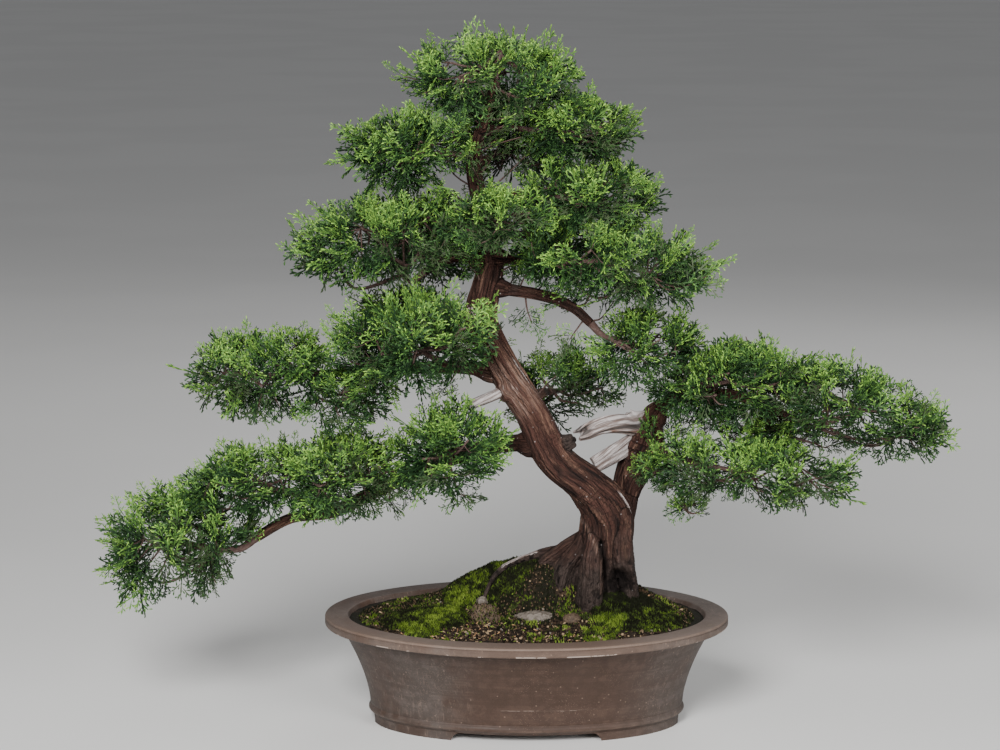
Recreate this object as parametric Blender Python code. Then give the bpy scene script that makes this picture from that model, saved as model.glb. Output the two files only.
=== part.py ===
"""Chinese juniper bonsai in an oval stoneware pot, as separate closed solids.

Everything is worked out in the pot's frame: X to the right, Y away from the front, Z up, with the
pot's middle on the Z axis and its feet at zero. At the end one empty carries the whole tree to the
place where the middle of its base outline is the origin.
"""

import math
import random

import bmesh
import bpy
from mathutils import Matrix, Vector, noise

# Clearances, metres
TOUCH = 0.00035
BREATHING = 0.002

# Pot, metres: half length, half width and height of each level of its profile
POT_HEIGHT = 0.122
LIP_OUTER = (0.2250, 0.1573)
LIP_DEPTH = 0.011
LIP_WIDTH = 0.026
LIP_EDGE = 0.0025
WALL_TOP = (0.2085, 0.1405)
WALL_FOOT = (0.1750, 0.1020)
WALL_FOOT_Z = 0.021
WALL_CURVE = 1.6
WALL_LEVELS = (0.050, 0.082)
WALL_THICKNESS = 0.011
INSIDE_LEVELS = (0.100, 0.062)
FLOOR_ROUNDING = 0.004
BEAD = (0.1768, 0.1037)
BEAD_Z = 0.016
BASE = (0.1722, 0.0992)
BASE_Z = 0.009
FLOOR_Z = 0.022
FOOT_RING_WIDTH = 0.016
FOOT_INSET = 0.0008
FOOT_OVERLAP = 0.001
FOOT_GAP_FRONT = (0.087, 0.078)
FOOT_GAP_END = (0.018, 0.013)
DRAIN_RADIUS = 0.010
DRAIN_X = 0.075
DRAIN_SEGMENTS = 12
POT_SEGMENTS = 36
POT_SHARP_ANGLE = 35

# Soil and moss, metres
SOIL_EDGE_Z = 0.114
SOIL_CROWN = 0.006
ROOT_RISE = (0.090, 0.045, 0.060, 0.060, 0.030)
ROOT_MOUND = (0.015, 0.035, 0.055, 0.045, 0.038)
LEFT_MOUND = (-0.045, 0.065, 0.050, 0.040, 0.030)
SOIL_RINGS = (1.0, 0.84, 0.66, 0.46, 0.24)
SOIL_EVEN_BAND = 0.25
SOIL_ROUGH_HEIGHT = 0.0015
SOIL_ROUGH_FINENESS = 40
MOSS_SEGMENTS = 12
MOSS_UNDERSIDE = (0.9, -0.010)
MOSS_DOME = ((1.0, 0.0), (0.97, 0.45), (0.80, 0.85), (0.50, 1.0))
MOSS_RAGGED = 0.10
MOSS_PATCHES = {
    "moss_mound": (-0.030, 0.050, 0.066, 0.056, 0.005),
    "moss_left": (-0.112, -0.028, 0.048, 0.046, 0.006),
    "moss_right": (0.122, -0.024, 0.052, 0.046, 0.006),
}
STONES = {
    "stone_flat": (0.010, -0.034, 0.023, 0.012, 0.007),
    "stone_round": (-0.052, -0.024, 0.009, 0.008, 0.009),
    "stone_tan": (0.050, -0.046, 0.010, 0.008, 0.007),
}
STONE_WORN = 0.16
STONE_WEAR_FINENESS = 1.4
STONE_SHOWS = 0.3

# Trunk: places along its axis and its half thickness there, metres, from the ground to the tip
GROUND_Z = 0.131
TRUNK_SIDES = 10
TRUNK_STEPS = 2
LIMB_SIDES = 8
LIMB_STEPS = 3
BOUGH_SIDES = 6
BOUGH_STEPS = 2
ROOT_SIDES = 7
RIDGE_HEIGHT = 0.05
ROOT_RIDGE_HEIGHT = 0.08
LIMB_SHARP_ANGLE = 50
TRUNK_WAY = (
    (0.081, 0.016, 0.118, 0.031),
    (0.084, 0.013, 0.168, 0.030),
    (0.089, 0.006, 0.212, 0.031),
    (0.087, 0.000, 0.240, 0.029),
    (0.066, -0.005, 0.268, 0.0225),
    (0.040, -0.010, 0.290, 0.0205),
    (0.024, -0.013, 0.312, 0.0205),
    (0.006, -0.015, 0.352, 0.0185),
    (-0.014, -0.012, 0.383, 0.0185),
    (-0.038, -0.006, 0.424, 0.0175),
    (-0.052, -0.002, 0.455, 0.0185),
    (-0.046, 0.004, 0.490, 0.0160),
    (-0.040, 0.009, 0.520, 0.0130),
    (-0.050, 0.010, 0.577, 0.0100),
    (-0.058, 0.002, 0.628, 0.0078),
    (-0.046, -0.007, 0.674, 0.0060),
    (-0.033, -0.015, 0.722, 0.0042),
    (-0.029, -0.017, 0.738, 0.0032),
)

# Root flare: each root leaves the trunk high, and its foot spreads on the ground
ROOTS = {
    "front": ((0.084, -0.014, 0.214), (0.073, -0.014, 0.168), (0.067, -0.004, 0.118), 0.012, 0.0165),
    "left": ((0.066, 0.000, 0.214), (0.046, 0.010, 0.172), (0.034, 0.014, 0.118), 0.014, 0.0210),
    "right": ((0.104, -0.012, 0.236), (0.106, -0.011, 0.188), (0.117, 0.018, 0.118), 0.013, 0.0130),
    "back": ((0.088, 0.024, 0.210), (0.096, 0.048, 0.165), (0.106, 0.066, 0.118), 0.015, 0.0140),
    "back_left": ((0.072, 0.022, 0.206), (0.050, 0.046, 0.165), (0.034, 0.062, 0.118), 0.014, 0.0130),
}

# Limbs: the limb each leaves, its way from inside that limb, and its half thickness at both ends
LIMBS = {
    "second_trunk": (
        "trunk",
        ((0.094, 0.014, 0.190), (0.109, 0.038, 0.232), (0.113, 0.048, 0.268), (0.124, 0.052, 0.302),
         (0.139, 0.050, 0.330)),
        (0.0165, 0.0115),
    ),
    "jin_stub": ("trunk", ((-0.012, -0.012, 0.381), (-0.040, -0.026, 0.371), (-0.066, -0.034, 0.358)),
                 (0.0062, 0.0046)),
    "jin_upper": ("second_trunk", ((0.130, 0.052, 0.322), (0.104, 0.036, 0.330), (0.079, 0.026, 0.329),
                                   (0.050, 0.016, 0.318)), (0.0100, 0.0070)),
    "jin_lower": ("second_trunk", ((0.117, 0.046, 0.296), (0.097, 0.030, 0.303), (0.075, 0.024, 0.287)),
                  (0.0100, 0.0076)),
    "surface_root": ("trunk", ((0.040, 0.020, 0.172), (0.006, 0.030, 0.170), (-0.018, 0.030, 0.163),
                               (-0.036, 0.018, 0.148), (-0.045, 0.002, 0.134)), (0.0100, 0.0050)),
}

# Boughs: the limb each leaves, the way to the mass it carries, and its half thickness at both ends
BOUGHS = {
    "low_left": ("trunk", ((0.020, -0.014, 0.318), (-0.030, 0.008, 0.312), (-0.095, 0.028, 0.288),
                           (-0.165, 0.030, 0.256), (-0.215, 0.018, 0.234), (-0.262, 0.000, 0.230),
                           (-0.300, -0.010, 0.210)), (0.0105, 0.0055)),
    "low_left_mid": ("low_left", ((-0.150, 0.030, 0.262), (-0.176, 0.010, 0.272)), (0.0050, 0.0038)),
    "low_left_top": ("low_left", ((-0.215, 0.018, 0.234), (-0.246, -0.004, 0.252)), (0.0046, 0.0036)),
    "low_left_inner": ("low_left", ((-0.030, 0.008, 0.312), (-0.050, -0.014, 0.316)), (0.0055, 0.0040)),
    "left": ("trunk", ((-0.022, -0.010, 0.394), (-0.070, 0.000, 0.400), (-0.130, 0.004, 0.398),
                       (-0.190, -0.010, 0.396)), (0.0085, 0.0048)),
    "left_inner": ("left", ((-0.084, 0.002, 0.400), (-0.096, -0.018, 0.410)), (0.0048, 0.0040)),
    "mid_left": ("trunk", ((-0.041, 0.008, 0.512), (-0.075, 0.004, 0.522), (-0.112, 0.000, 0.506)),
                 (0.0075, 0.0045)),
    "mid_right": ("trunk", ((-0.040, 0.009, 0.520), (-0.010, 0.000, 0.520)), (0.0080, 0.0050)),
    "drop_right": ("trunk", ((-0.046, 0.004, 0.490), (0.020, 0.004, 0.478), (0.050, 0.002, 0.466),
                             (0.070, 0.000, 0.449)), (0.0075, 0.0050)),
    "right": ("second_trunk", ((0.1390, 0.050, 0.330), (0.156, 0.047, 0.352), (0.190, 0.038, 0.363),
                               (0.240, 0.024, 0.362), (0.272, 0.012, 0.350), (0.296, 0.004, 0.342)),
              (0.0098, 0.0042)),
    "right_inner": ("right", ((0.170, 0.043, 0.357), (0.178, 0.028, 0.366)), (0.0045, 0.0038)),
    "right_lower": ("second_trunk", ((0.122, 0.051, 0.298), (0.150, 0.024, 0.300), (0.168, 0.004, 0.298)),
                    (0.0070, 0.0042)),
    "hanging_sprig": ("right_lower", ((0.150, 0.024, 0.300), (0.164, 0.004, 0.274)), (0.0026, 0.0018)),
    "back_low": ("trunk", ((-0.002, -0.014, 0.364), (0.016, 0.050, 0.362)), (0.0070, 0.0045)),
    "back_right": ("right", ((0.152, 0.048, 0.347), (0.180, 0.084, 0.356)), (0.0052, 0.0042)),
    "back_left": ("trunk", ((-0.034, -0.006, 0.418), (-0.060, 0.046, 0.424)), (0.0065, 0.0045)),
    "back_mid_left": ("trunk", ((-0.041, 0.008, 0.536), (-0.066, 0.056, 0.530)), (0.0060, 0.0042)),
    "back_mid_right": ("trunk", ((-0.041, 0.008, 0.545), (-0.014, 0.056, 0.540)), (0.0060, 0.0042)),
    "shoulder_right": ("trunk", ((-0.050, 0.010, 0.584), (-0.016, 0.000, 0.590)), (0.0055, 0.0040)),
    "front_mid": ("trunk", ((-0.048, 0.010, 0.566), (-0.040, -0.022, 0.570)), (0.0050, 0.0036)),
    "back_upper": ("trunk", ((-0.058, 0.002, 0.626), (-0.040, 0.034, 0.628)), (0.0048, 0.0036)),
    "upper_right": ("trunk", ((-0.050, -0.004, 0.660), (-0.020, -0.006, 0.664)), (0.0045, 0.0034)),
}

# Foliage: middle, half sizes and tilt in degrees of each mass's space, and the limb that carries it
MASSES = {
    "apex": ((-0.034, -0.008, 0.722), (0.106, 0.086, 0.056), 0, "trunk"),
    "upper_left": ((-0.128, -0.012, 0.638), (0.078, 0.070, 0.051), -6, "trunk"),
    "upper_right": ((0.058, -0.014, 0.660), (0.070, 0.064, 0.044), 8, "upper_right"),
    "shoulder_right": ((0.070, -0.026, 0.590), (0.084, 0.072, 0.044), 6, "shoulder_right"),
    "back_upper": ((-0.010, 0.100, 0.634), (0.084, 0.062, 0.060), 0, "back_upper"),
    "front_mid": ((-0.030, -0.080, 0.572), (0.066, 0.050, 0.038), 0, "front_mid"),
    "mid_left": ((-0.156, -0.022, 0.544), (0.108, 0.088, 0.051), -9, "mid_left"),
    "mid_right": ((0.090, -0.034, 0.521), (0.120, 0.090, 0.047), 9, "mid_right"),
    "back_mid_left": ((-0.106, 0.128, 0.524), (0.084, 0.066, 0.052), 0, "back_mid_left"),
    "back_mid_right": ((0.040, 0.130, 0.530), (0.086, 0.066, 0.052), 0, "back_mid_right"),
    "drop_right": ((0.133, -0.004, 0.424), (0.066, 0.062, 0.045), 5, "drop_right"),
    "back_low": ((0.040, 0.142, 0.350), (0.076, 0.066, 0.048), 0, "back_low"),
    "left_inner": ((-0.124, -0.070, 0.434), (0.098, 0.068, 0.060), -4, "left_inner"),
    "left_outer": ((-0.282, -0.028, 0.389), (0.090, 0.078, 0.058), -8, "left"),
    "back_left": ((-0.136, 0.118, 0.424), (0.086, 0.066, 0.052), 0, "back_left"),
    "low_left_inner": ((-0.082, -0.066, 0.316), (0.068, 0.064, 0.058), -8, "low_left_inner"),
    "low_left_mid": ((-0.200, -0.034, 0.284), (0.086, 0.074, 0.052), -10, "low_left_mid"),
    "low_left_top": ((-0.300, -0.026, 0.276), (0.084, 0.070, 0.042), -10, "low_left_top"),
    "low_left_outer": ((-0.381, -0.018, 0.206), (0.097, 0.078, 0.067), -20, "low_left"),
    "right_inner": ((0.222, -0.002, 0.384), (0.086, 0.068, 0.050), 0, "right_inner"),
    "right_outer": ((0.366, -0.008, 0.354), (0.103, 0.078, 0.050), 15, "right"),
    "right_lower": ((0.246, -0.050, 0.292), (0.126, 0.068, 0.038), 4, "right_lower"),
    "back_right": ((0.254, 0.120, 0.362), (0.088, 0.064, 0.048), 0, "back_right"),
    "hanging_sprig": ((0.176, -0.028, 0.246), (0.026, 0.022, 0.024), 0, "hanging_sprig"),
}
CORE_SHARE = 0.84
CORE_LUMPS = 0.16
CORE_LUMP_FINENESS = 1.7
CORE_STEP = 0.03
BOUGH_ENDS_AT = 0.96
SHORTEST_LEAD = 0.008
NEARBY = 0.04
SPRAYS_PER_MASS = 14
SPRAYS_PER_SPRIG = 5
SPRIG_SIZE = 0.04
SPRAY_LENGTH_SHARE = 0.74
SPRAY_WIDTH_SHARE = 0.80
SPRAY_THICKNESS = 0.0030
SPRAY_TEETH = ((0.08, 0.09), (0.34, 0.44), (0.46, 0.15), (0.76, 0.36), (1.0, 0.0))
SPRAY_RIDGE_AT = 0.40
SPRAY_REACH = (0.97, 1.0)
TWIG_RADII = (0.0026, 0.0012)
TWIG_ENDS_AT = 0.3
STEM_ROOT_RADIUS = 0.0036
STEM_TIP_RADIUS = 0.0020
STEM_BEND = 0.35
APEX_HEART = 0.010
SPACE_MARGIN = 0.05
SPRAY_LIFT = 0.25
SPRAY_LIMIT = 1.05
PROBE_SHARES = (0.25, 0.5, 0.75, 1.0)
GOLDEN_ANGLE = math.pi * (3.0 - math.sqrt(5.0))

# Finishes: colour, roughness
FINISHES = {
    "stoneware": ((0.105, 0.075, 0.056, 1.0), 0.62),
    "soil": ((0.035, 0.024, 0.017, 1.0), 0.95),
    "moss": ((0.050, 0.095, 0.018, 1.0), 0.95),
    "stone": ((0.180, 0.170, 0.155, 1.0), 0.80),
    "bark": ((0.110, 0.052, 0.036, 1.0), 0.85),
    "deadwood": ((0.420, 0.370, 0.310, 1.0), 0.75),
    "foliage": ((0.050, 0.120, 0.035, 1.0), 0.70),
}


def clear_scene():
    for thing in list(bpy.data.objects):
        bpy.data.objects.remove(thing, do_unlink=True)


def finish(name):
    """The material of one finish, made once."""
    if name in bpy.data.materials:
        return bpy.data.materials[name]
    colour, roughness = FINISHES[name]
    material = bpy.data.materials.new(name)
    material.use_nodes = True
    shader = material.node_tree.nodes["Principled BSDF"]
    shader.inputs["Base Color"].default_value = colour
    shader.inputs["Roughness"].default_value = roughness
    shader.inputs["Metallic"].default_value = 0.0
    material.diffuse_color = colour
    return material


def object_from(bm, name, finish_name="bark"):
    """A mesh object holding the bmesh, with its faces pointing out."""
    bmesh.ops.recalc_face_normals(bm, faces=bm.faces)
    bmesh.ops.triangulate(bm, faces=bm.faces, quad_method="FIXED")
    mesh = bpy.data.meshes.new(name)
    bm.to_mesh(mesh)
    bm.free()
    mesh.materials.append(finish(finish_name))
    thing = bpy.data.objects.new(name, mesh)
    bpy.context.scene.collection.objects.link(thing)
    return thing


def skin(bm, rings, centre_start=None, centre_end=None):
    """Joins rings of points by quads, and closes both ends flat, or to a middle point where given."""
    loops = [[bm.verts.new(point) for point in ring] for ring in rings]
    count = len(rings[0])
    for near, far in zip(loops, loops[1:]):
        for i in range(count):
            j = (i + 1) % count
            bm.faces.new((near[i], near[j], far[j], far[i]))
    for loop, centre in ((loops[0], centre_start), (loops[-1], centre_end)):
        if centre is None:
            bm.faces.new(loop)
            continue
        middle = bm.verts.new(centre)
        for i in range(count):
            bm.faces.new((loop[i], loop[(i + 1) % count], middle))


def oval(half, z, segments=POT_SEGMENTS):
    turns = (2 * math.pi * i / segments for i in range(segments))
    return [Vector((half[0] * math.cos(t), half[1] * math.sin(t), z)) for t in turns]


def grown(half, extra):
    return (half[0] + extra, half[1] + extra)


def apply_modifiers(thing):
    graph = bpy.context.evaluated_depsgraph_get()
    shaped = bpy.data.meshes.new_from_object(thing.evaluated_get(graph))
    old = thing.data
    thing.modifiers.clear()
    thing.data = shaped
    bpy.data.meshes.remove(old)


def boolean(thing, others, operation):
    """Applies one Boolean of the thing with all the others, and removes them."""
    group = bpy.data.collections.new("operands")
    bpy.context.scene.collection.children.link(group)
    for other in others:
        bpy.context.scene.collection.objects.unlink(other)
        group.objects.link(other)
    modifier = thing.modifiers.new("Boolean", "BOOLEAN")
    modifier.operation = operation
    modifier.operand_type = "COLLECTION"
    modifier.collection = group
    modifier.solver = "EXACT"
    apply_modifiers(thing)
    for other in others:
        bpy.data.objects.remove(other, do_unlink=True)
    bpy.data.collections.remove(group)


def islands_of(bm):
    """The separate bodies of a mesh, each as a list of faces."""
    left = set(bm.faces)
    found = []
    while left:
        stack = [left.pop()]
        island = []
        while stack:
            face = stack.pop()
            island.append(face)
            for edge in face.edges:
                for other in edge.link_faces:
                    if other in left:
                        left.remove(other)
                        stack.append(other)
        found.append(island)
    return found


def keep_largest_body(thing):
    """Drops what a cut left loose."""
    bm = bmesh.new()
    bm.from_mesh(thing.data)
    bmesh.ops.triangulate(bm, faces=bm.faces)
    found = islands_of(bm)
    if len(found) > 1:
        found.sort(key=len)
        for island in found[:-1]:
            bmesh.ops.delete(bm, geom=island, context="FACES")
    bm.to_mesh(thing.data)
    bm.free()


def smooth_round(thing, degrees=LIMB_SHARP_ANGLE):
    thing.data.shade_smooth()
    thing.data.set_sharp_from_angle(angle=math.radians(degrees))


def curve_through(points, steps):
    """Points and sizes on a smooth curve through the given ones, by the Catmull-Rom rule."""
    rows = [Vector(p).to_4d() if len(p) == 3 else Vector(p) for p in points]
    rows = [rows[0] * 2 - rows[1]] + rows + [rows[-1] * 2 - rows[-2]]
    smooth = []
    for a, b, c, d in zip(rows, rows[1:], rows[2:], rows[3:]):
        square = 2 * a - 5 * b + 4 * c - d
        cube = 3 * b - a - 3 * c + d
        for k in range(steps):
            t = k / steps
            smooth.append((2 * b + (c - a) * t + square * t**2 + cube * t**3) * 0.5)
    return smooth + [rows[-2]]


def frames_along(centres):
    """For each place on a way, two directions across it, carried along without twisting."""
    across = Vector((0.0, 1.0, 0.0))
    frames = []
    for i, centre in enumerate(centres):
        ahead = (centres[min(i + 1, len(centres) - 1)] - centres[max(i - 1, 0)]).normalized()
        across = (across - ahead * across.dot(ahead)).normalized()
        frames.append((ahead, across, ahead.cross(across)))
    return frames


class Limb:
    """A tapering round limb along a smooth way."""

    def __init__(self, rows, sides, lobes=0.0):
        self.centres = [Vector(row[:3]) for row in rows]
        self.radii = [row[3] for row in rows]
        self.sides = sides
        self.lobes = lobes

    def ring(self, index, frame, extra):
        """One ring of the skin. Ridges run along the limb and turn slowly round it."""
        _, across, over = frame
        ring = []
        for i in range(self.sides):
            turn = 2 * math.pi * i / self.sides
            ridge = math.cos(3 * turn + 0.20 * index) + 0.6 * math.cos(5 * turn - 0.30 * index)
            radius = self.radii[index] * (1 + self.lobes * ridge) + extra
            outward = across * math.cos(turn) + over * math.sin(turn)
            ring.append(self.centres[index] + outward * radius)
        return ring

    def solid(self, name, extra=0.0, finish_name="bark"):
        """The limb as a closed mesh object, thicker by extra all round."""
        frames = frames_along(self.centres)
        rings = [self.ring(i, frame, extra) for i, frame in enumerate(frames)]
        rings[0] = [point - frames[0][0] * extra for point in rings[0]]
        rings[-1] = [point + frames[-1][0] * extra for point in rings[-1]]
        bm = bmesh.new()
        skin(bm, rings)
        return object_from(bm, name, finish_name)

    def clearance(self, point):
        """How far a point is outside the limb's surface."""
        nearest = math.inf
        for a, b, ra, rb in zip(self.centres, self.centres[1:], self.radii, self.radii[1:]):
            along = b - a
            t = max(0.0, min(1.0, (point - a).dot(along) / along.length_squared))
            nearest = min(nearest, (point - a - along * t).length - (ra + (rb - ra) * t))
        return nearest


def tapered(way, radii, steps, sides, lobes=0.0):
    """A limb on a smooth way, its thickness falling evenly from one end to the other."""
    rows = curve_through(way, steps)
    last = len(rows) - 1
    for i, row in enumerate(rows):
        row[3] = radii[0] + (radii[1] - radii[0]) * i / last
    return Limb(rows, sides, lobes)


def pot_wall(z):
    """Half sizes of the pot's outer wall at a height: an even curve that opens towards the lip."""
    rise = (z - WALL_FOOT_Z) / (POT_HEIGHT - LIP_DEPTH - WALL_FOOT_Z)
    opening = max(0.0, rise) ** WALL_CURVE
    return tuple(foot + (top - foot) * opening for foot, top in zip(WALL_FOOT, WALL_TOP))


def pot_inside(z):
    return grown(pot_wall(z), -WALL_THICKNESS)


def foot_gap(half_width, half_depth, height, turned):
    """A wedge that parts two feet, wider at the ground."""
    bm = bmesh.new()
    bmesh.ops.create_cube(bm, size=2.0)
    for vert in bm.verts:
        wide = half_width[0] if vert.co.z < 0 else half_width[1]
        vert.co = Vector((vert.co.x * wide, vert.co.y * half_depth, height if vert.co.z > 0 else -height))
    bmesh.ops.rotate(bm, verts=bm.verts, matrix=Matrix.Rotation(math.radians(90) if turned else 0.0, 3, "Z"))
    return object_from(bm, "foot_gap")


def foot_ring():
    bm = bmesh.new()
    outer = grown(BASE, -FOOT_INSET)
    inner = grown(outer, -FOOT_RING_WIDTH)
    top = BASE_Z + FOOT_OVERLAP
    loops = [oval(outer, 0.0), oval(outer, top), oval(inner, top), oval(inner, 0.0)]
    rings = [[bm.verts.new(point) for point in loop] for loop in loops]
    for near, far in zip(rings, rings[1:] + rings[:1]):
        for i in range(POT_SEGMENTS):
            j = (i + 1) % POT_SEGMENTS
            bm.faces.new((near[i], near[j], far[j], far[i]))
    ring = object_from(bm, "foot_ring")
    front = foot_gap(FOOT_GAP_FRONT, BASE[1] * 2, BASE_Z, False)
    ends = foot_gap(FOOT_GAP_END, BASE[0] * 2, BASE_Z, True)
    boolean(ring, [front, ends], "DIFFERENCE")
    return ring


def make_pot():
    """The body with its lip and bead, then the four feet joined on and two drain holes bored."""
    lip_z = POT_HEIGHT - LIP_DEPTH
    inner_lip = grown(LIP_OUTER, -LIP_WIDTH)
    levels = [(BASE, BASE_Z), (BEAD, BEAD_Z), (WALL_FOOT, WALL_FOOT_Z)]
    levels += [(pot_wall(z), z) for z in WALL_LEVELS]
    levels += [(pot_wall(lip_z), lip_z), (grown(LIP_OUTER, -LIP_EDGE), lip_z)]
    levels += [(LIP_OUTER, lip_z + LIP_EDGE), (LIP_OUTER, POT_HEIGHT - LIP_EDGE)]
    levels += [(grown(LIP_OUTER, -LIP_EDGE), POT_HEIGHT), (inner_lip, POT_HEIGHT)]
    levels += [(pot_inside(z), z) for z in INSIDE_LEVELS]
    levels += [(grown(pot_inside(FLOOR_Z), -FLOOR_ROUNDING), FLOOR_Z)]
    bm = bmesh.new()
    skin(bm, [oval(half, z) for half, z in levels])
    pot = object_from(bm, "pot", "stoneware")
    boolean(pot, [foot_ring()], "UNION")
    drains = []
    for side in (-1, 1):
        bm = bmesh.new()
        place = Matrix.Translation((side * DRAIN_X, 0.0, FLOOR_Z / 2))
        bmesh.ops.create_cone(
            bm,
            cap_ends=True,
            segments=DRAIN_SEGMENTS,
            radius1=DRAIN_RADIUS,
            radius2=DRAIN_RADIUS,
            depth=FLOOR_Z * 2,
            matrix=place,
        )
        drains.append(object_from(bm, "drain"))
    boolean(pot, drains, "DIFFERENCE")
    smooth_round(pot, POT_SHARP_ANGLE)


def bump(x, y, place):
    """A rounded rise in the soil: its middle, half widths and height."""
    middle_x, middle_y, wide, deep, height = place
    return height * math.exp(-(((x - middle_x) / wide) ** 2) - ((y - middle_y) / deep) ** 2)


def soil_reach(x, y):
    """How far out in the pot a place lies: 0 in the middle and 1 at the wall."""
    edge = pot_inside(SOIL_EDGE_Z)
    return math.hypot(x / edge[0], y / edge[1])


def soil_height(x, y):
    reach = min(1.0, soil_reach(x, y))
    mounds = sum(bump(x, y, place) for place in (ROOT_RISE, ROOT_MOUND, LEFT_MOUND))
    rise = SOIL_CROWN * (1 - reach**2) + mounds
    fade = min(1.0, (1 - reach) / SOIL_EVEN_BAND)
    rough = SOIL_ROUGH_HEIGHT * noise.noise(Vector((x, y, 0.0)) * SOIL_ROUGH_FINENESS)
    return SOIL_EDGE_Z + (rise + rough) * (fade * (2 - fade))


def soil_solid(name, extra=0.0):
    """The soil in the pot with its mounded top, raised by extra."""
    upper, lower = INSIDE_LEVELS
    rings = [oval(grown(pot_inside(FLOOR_Z), -FLOOR_ROUNDING - TOUCH), FLOOR_Z + TOUCH)]
    rings.append(oval(grown(pot_inside(lower), -TOUCH * 2), lower))
    edge = grown(pot_inside(upper), -TOUCH * 3)
    for share in SOIL_RINGS:
        ring = oval((edge[0] * share, edge[1] * share), 0.0)
        for point in ring:
            point.z = soil_height(point.x, point.y) + extra
        rings.append(ring)
    bm = bmesh.new()
    skin(bm, rings, centre_end=(0.0, 0.0, soil_height(0.0, 0.0) + extra))
    return object_from(bm, name, "soil")


def moss_patch(name, place):
    """A cushion of moss: a domed oval that the soil and the roots are then cut from."""
    middle_x, middle_y, wide, deep, thick = place
    rings = []
    levels = [MOSS_UNDERSIDE] + [(share, thick * height) for share, height in MOSS_DOME]
    for share, depth in levels:
        ring = oval((wide * share, deep * share), 0.0, MOSS_SEGMENTS)
        for i, point in enumerate(ring):
            ragged = 1 + MOSS_RAGGED * math.sin(3 * i + middle_x * 100) * share
            point.x = middle_x + point.x * ragged
            point.y = middle_y + point.y * ragged
            point.z = soil_height(point.x, point.y) + depth
        rings.append(ring)
    top = (middle_x, middle_y, soil_height(middle_x, middle_y) + thick)
    bm = bmesh.new()
    skin(bm, rings, centre_end=top)
    return object_from(bm, name, "moss")


def stone_solid(name, place, seed):
    """A worn stone, half bedded in the soil."""
    middle_x, middle_y, wide, deep, high = place
    bm = bmesh.new()
    bmesh.ops.create_icosphere(bm, subdivisions=2, radius=1.0)
    for vert in bm.verts:
        worn = 1 + STONE_WORN * noise.noise(vert.co * STONE_WEAR_FINENESS + Vector((seed * 7.0, 0.0, 0.0)))
        vert.co = Vector((vert.co.x * wide, vert.co.y * deep, vert.co.z * high)) * worn
        vert.co += Vector((middle_x, middle_y, soil_height(middle_x, middle_y) + high * STONE_SHOWS))
    return object_from(bm, name, "stone")


def below_ground():
    bm = bmesh.new()
    bmesh.ops.create_cube(bm, size=1.0, matrix=Matrix.Translation((0.0, 0.0, GROUND_Z - 0.5)))
    return object_from(bm, "below_ground")


def trunk_solid(name, extra=0.0):
    """The trunk with its root flare, cut flat at the ground, thicker by extra all round."""
    trunk = TRUNK.solid(name, extra)
    roots = []
    for high, middle, foot, top_radius, foot_radius in ROOTS.values():
        root = tapered((high, middle, foot), (top_radius, foot_radius), 1, ROOT_SIDES, ROOT_RIDGE_HEIGHT)
        roots.append(root.solid("root", extra))
    boolean(trunk, roots, "UNION")
    cut = below_ground()
    cut.location.z = -extra
    bpy.context.view_layer.update()
    boolean(trunk, [cut], "DIFFERENCE")
    return trunk


def limb_solid(name, extra=0.0):
    if name == "trunk":
        return trunk_solid("trunk_copy", extra)
    return LIMB_SHAPES[name].solid(name + "_copy", extra)


def make_limb(name, parent, node, finish_name):
    """One limb, its root cut clear of the limb that it leaves."""
    limb = LIMB_SHAPES[name].solid(node, 0.0, finish_name)
    boolean(limb, [limb_solid(parent, TOUCH)], "DIFFERENCE")
    keep_largest_body(limb)
    smooth_round(limb)
    return limb


class Space:
    """The room that one mass of foliage keeps to."""

    def __init__(self, name, middle, half, tilt, carrier):
        self.name = name
        self.middle = Vector(middle)
        self.half = half
        self.turn = Matrix.Rotation(math.radians(tilt), 3, "Y")
        self.back = self.turn.transposed()
        self.carrier = carrier

    def place(self, direction, share):
        """A point out along a unit direction: share 0 is the middle and 1 the border."""
        return self.middle + self.turn @ Vector(d * h * share for d, h in zip(direction, self.half))

    def share(self, point):
        local = self.back @ (point - self.middle)
        return math.sqrt(sum((x / h) ** 2 for x, h in zip(local, self.half)))

    def owns(self, point, limit=1.0):
        """Whether a point is in this space, and nearer to its middle than to any other's."""
        mine = self.share(point)
        if mine > limit:
            return False
        others = (other for other in SPACES.values() if other is not self)
        return all(other.share(point) > mine + SPACE_MARGIN for other in others)


def near_limbs(space):
    """Names of the limbs that pass close to the space."""
    reach = max(space.half) + NEARBY
    near = []
    for name, limb in LIMB_SHAPES.items():
        if any((centre - space.middle).length < reach for centre in limb.centres):
            near.append(name)
    return near


def core_solid(space):
    """The dense inside of a mass: a lumpy pad, drawn in where a neighbour's space begins."""
    bm = bmesh.new()
    bmesh.ops.create_icosphere(bm, subdivisions=1, radius=1.0)
    for vert in bm.verts:
        direction = vert.co.normalized()
        lump = noise.noise(direction * CORE_LUMP_FINENESS + space.middle * 30)
        share = CORE_SHARE * (1 + CORE_LUMPS * lump)
        while share > 0.1 and not space.owns(space.place(direction, share)):
            share -= CORE_STEP
        vert.co = space.place(direction, share)
    core = object_from(bm, "foliage_" + space.name, "foliage")
    limbs = [limb_solid(name, BREATHING) for name in near_limbs(space)]
    if limbs:
        boolean(core, limbs, "DIFFERENCE")
        keep_largest_body(core)
    return core


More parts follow.
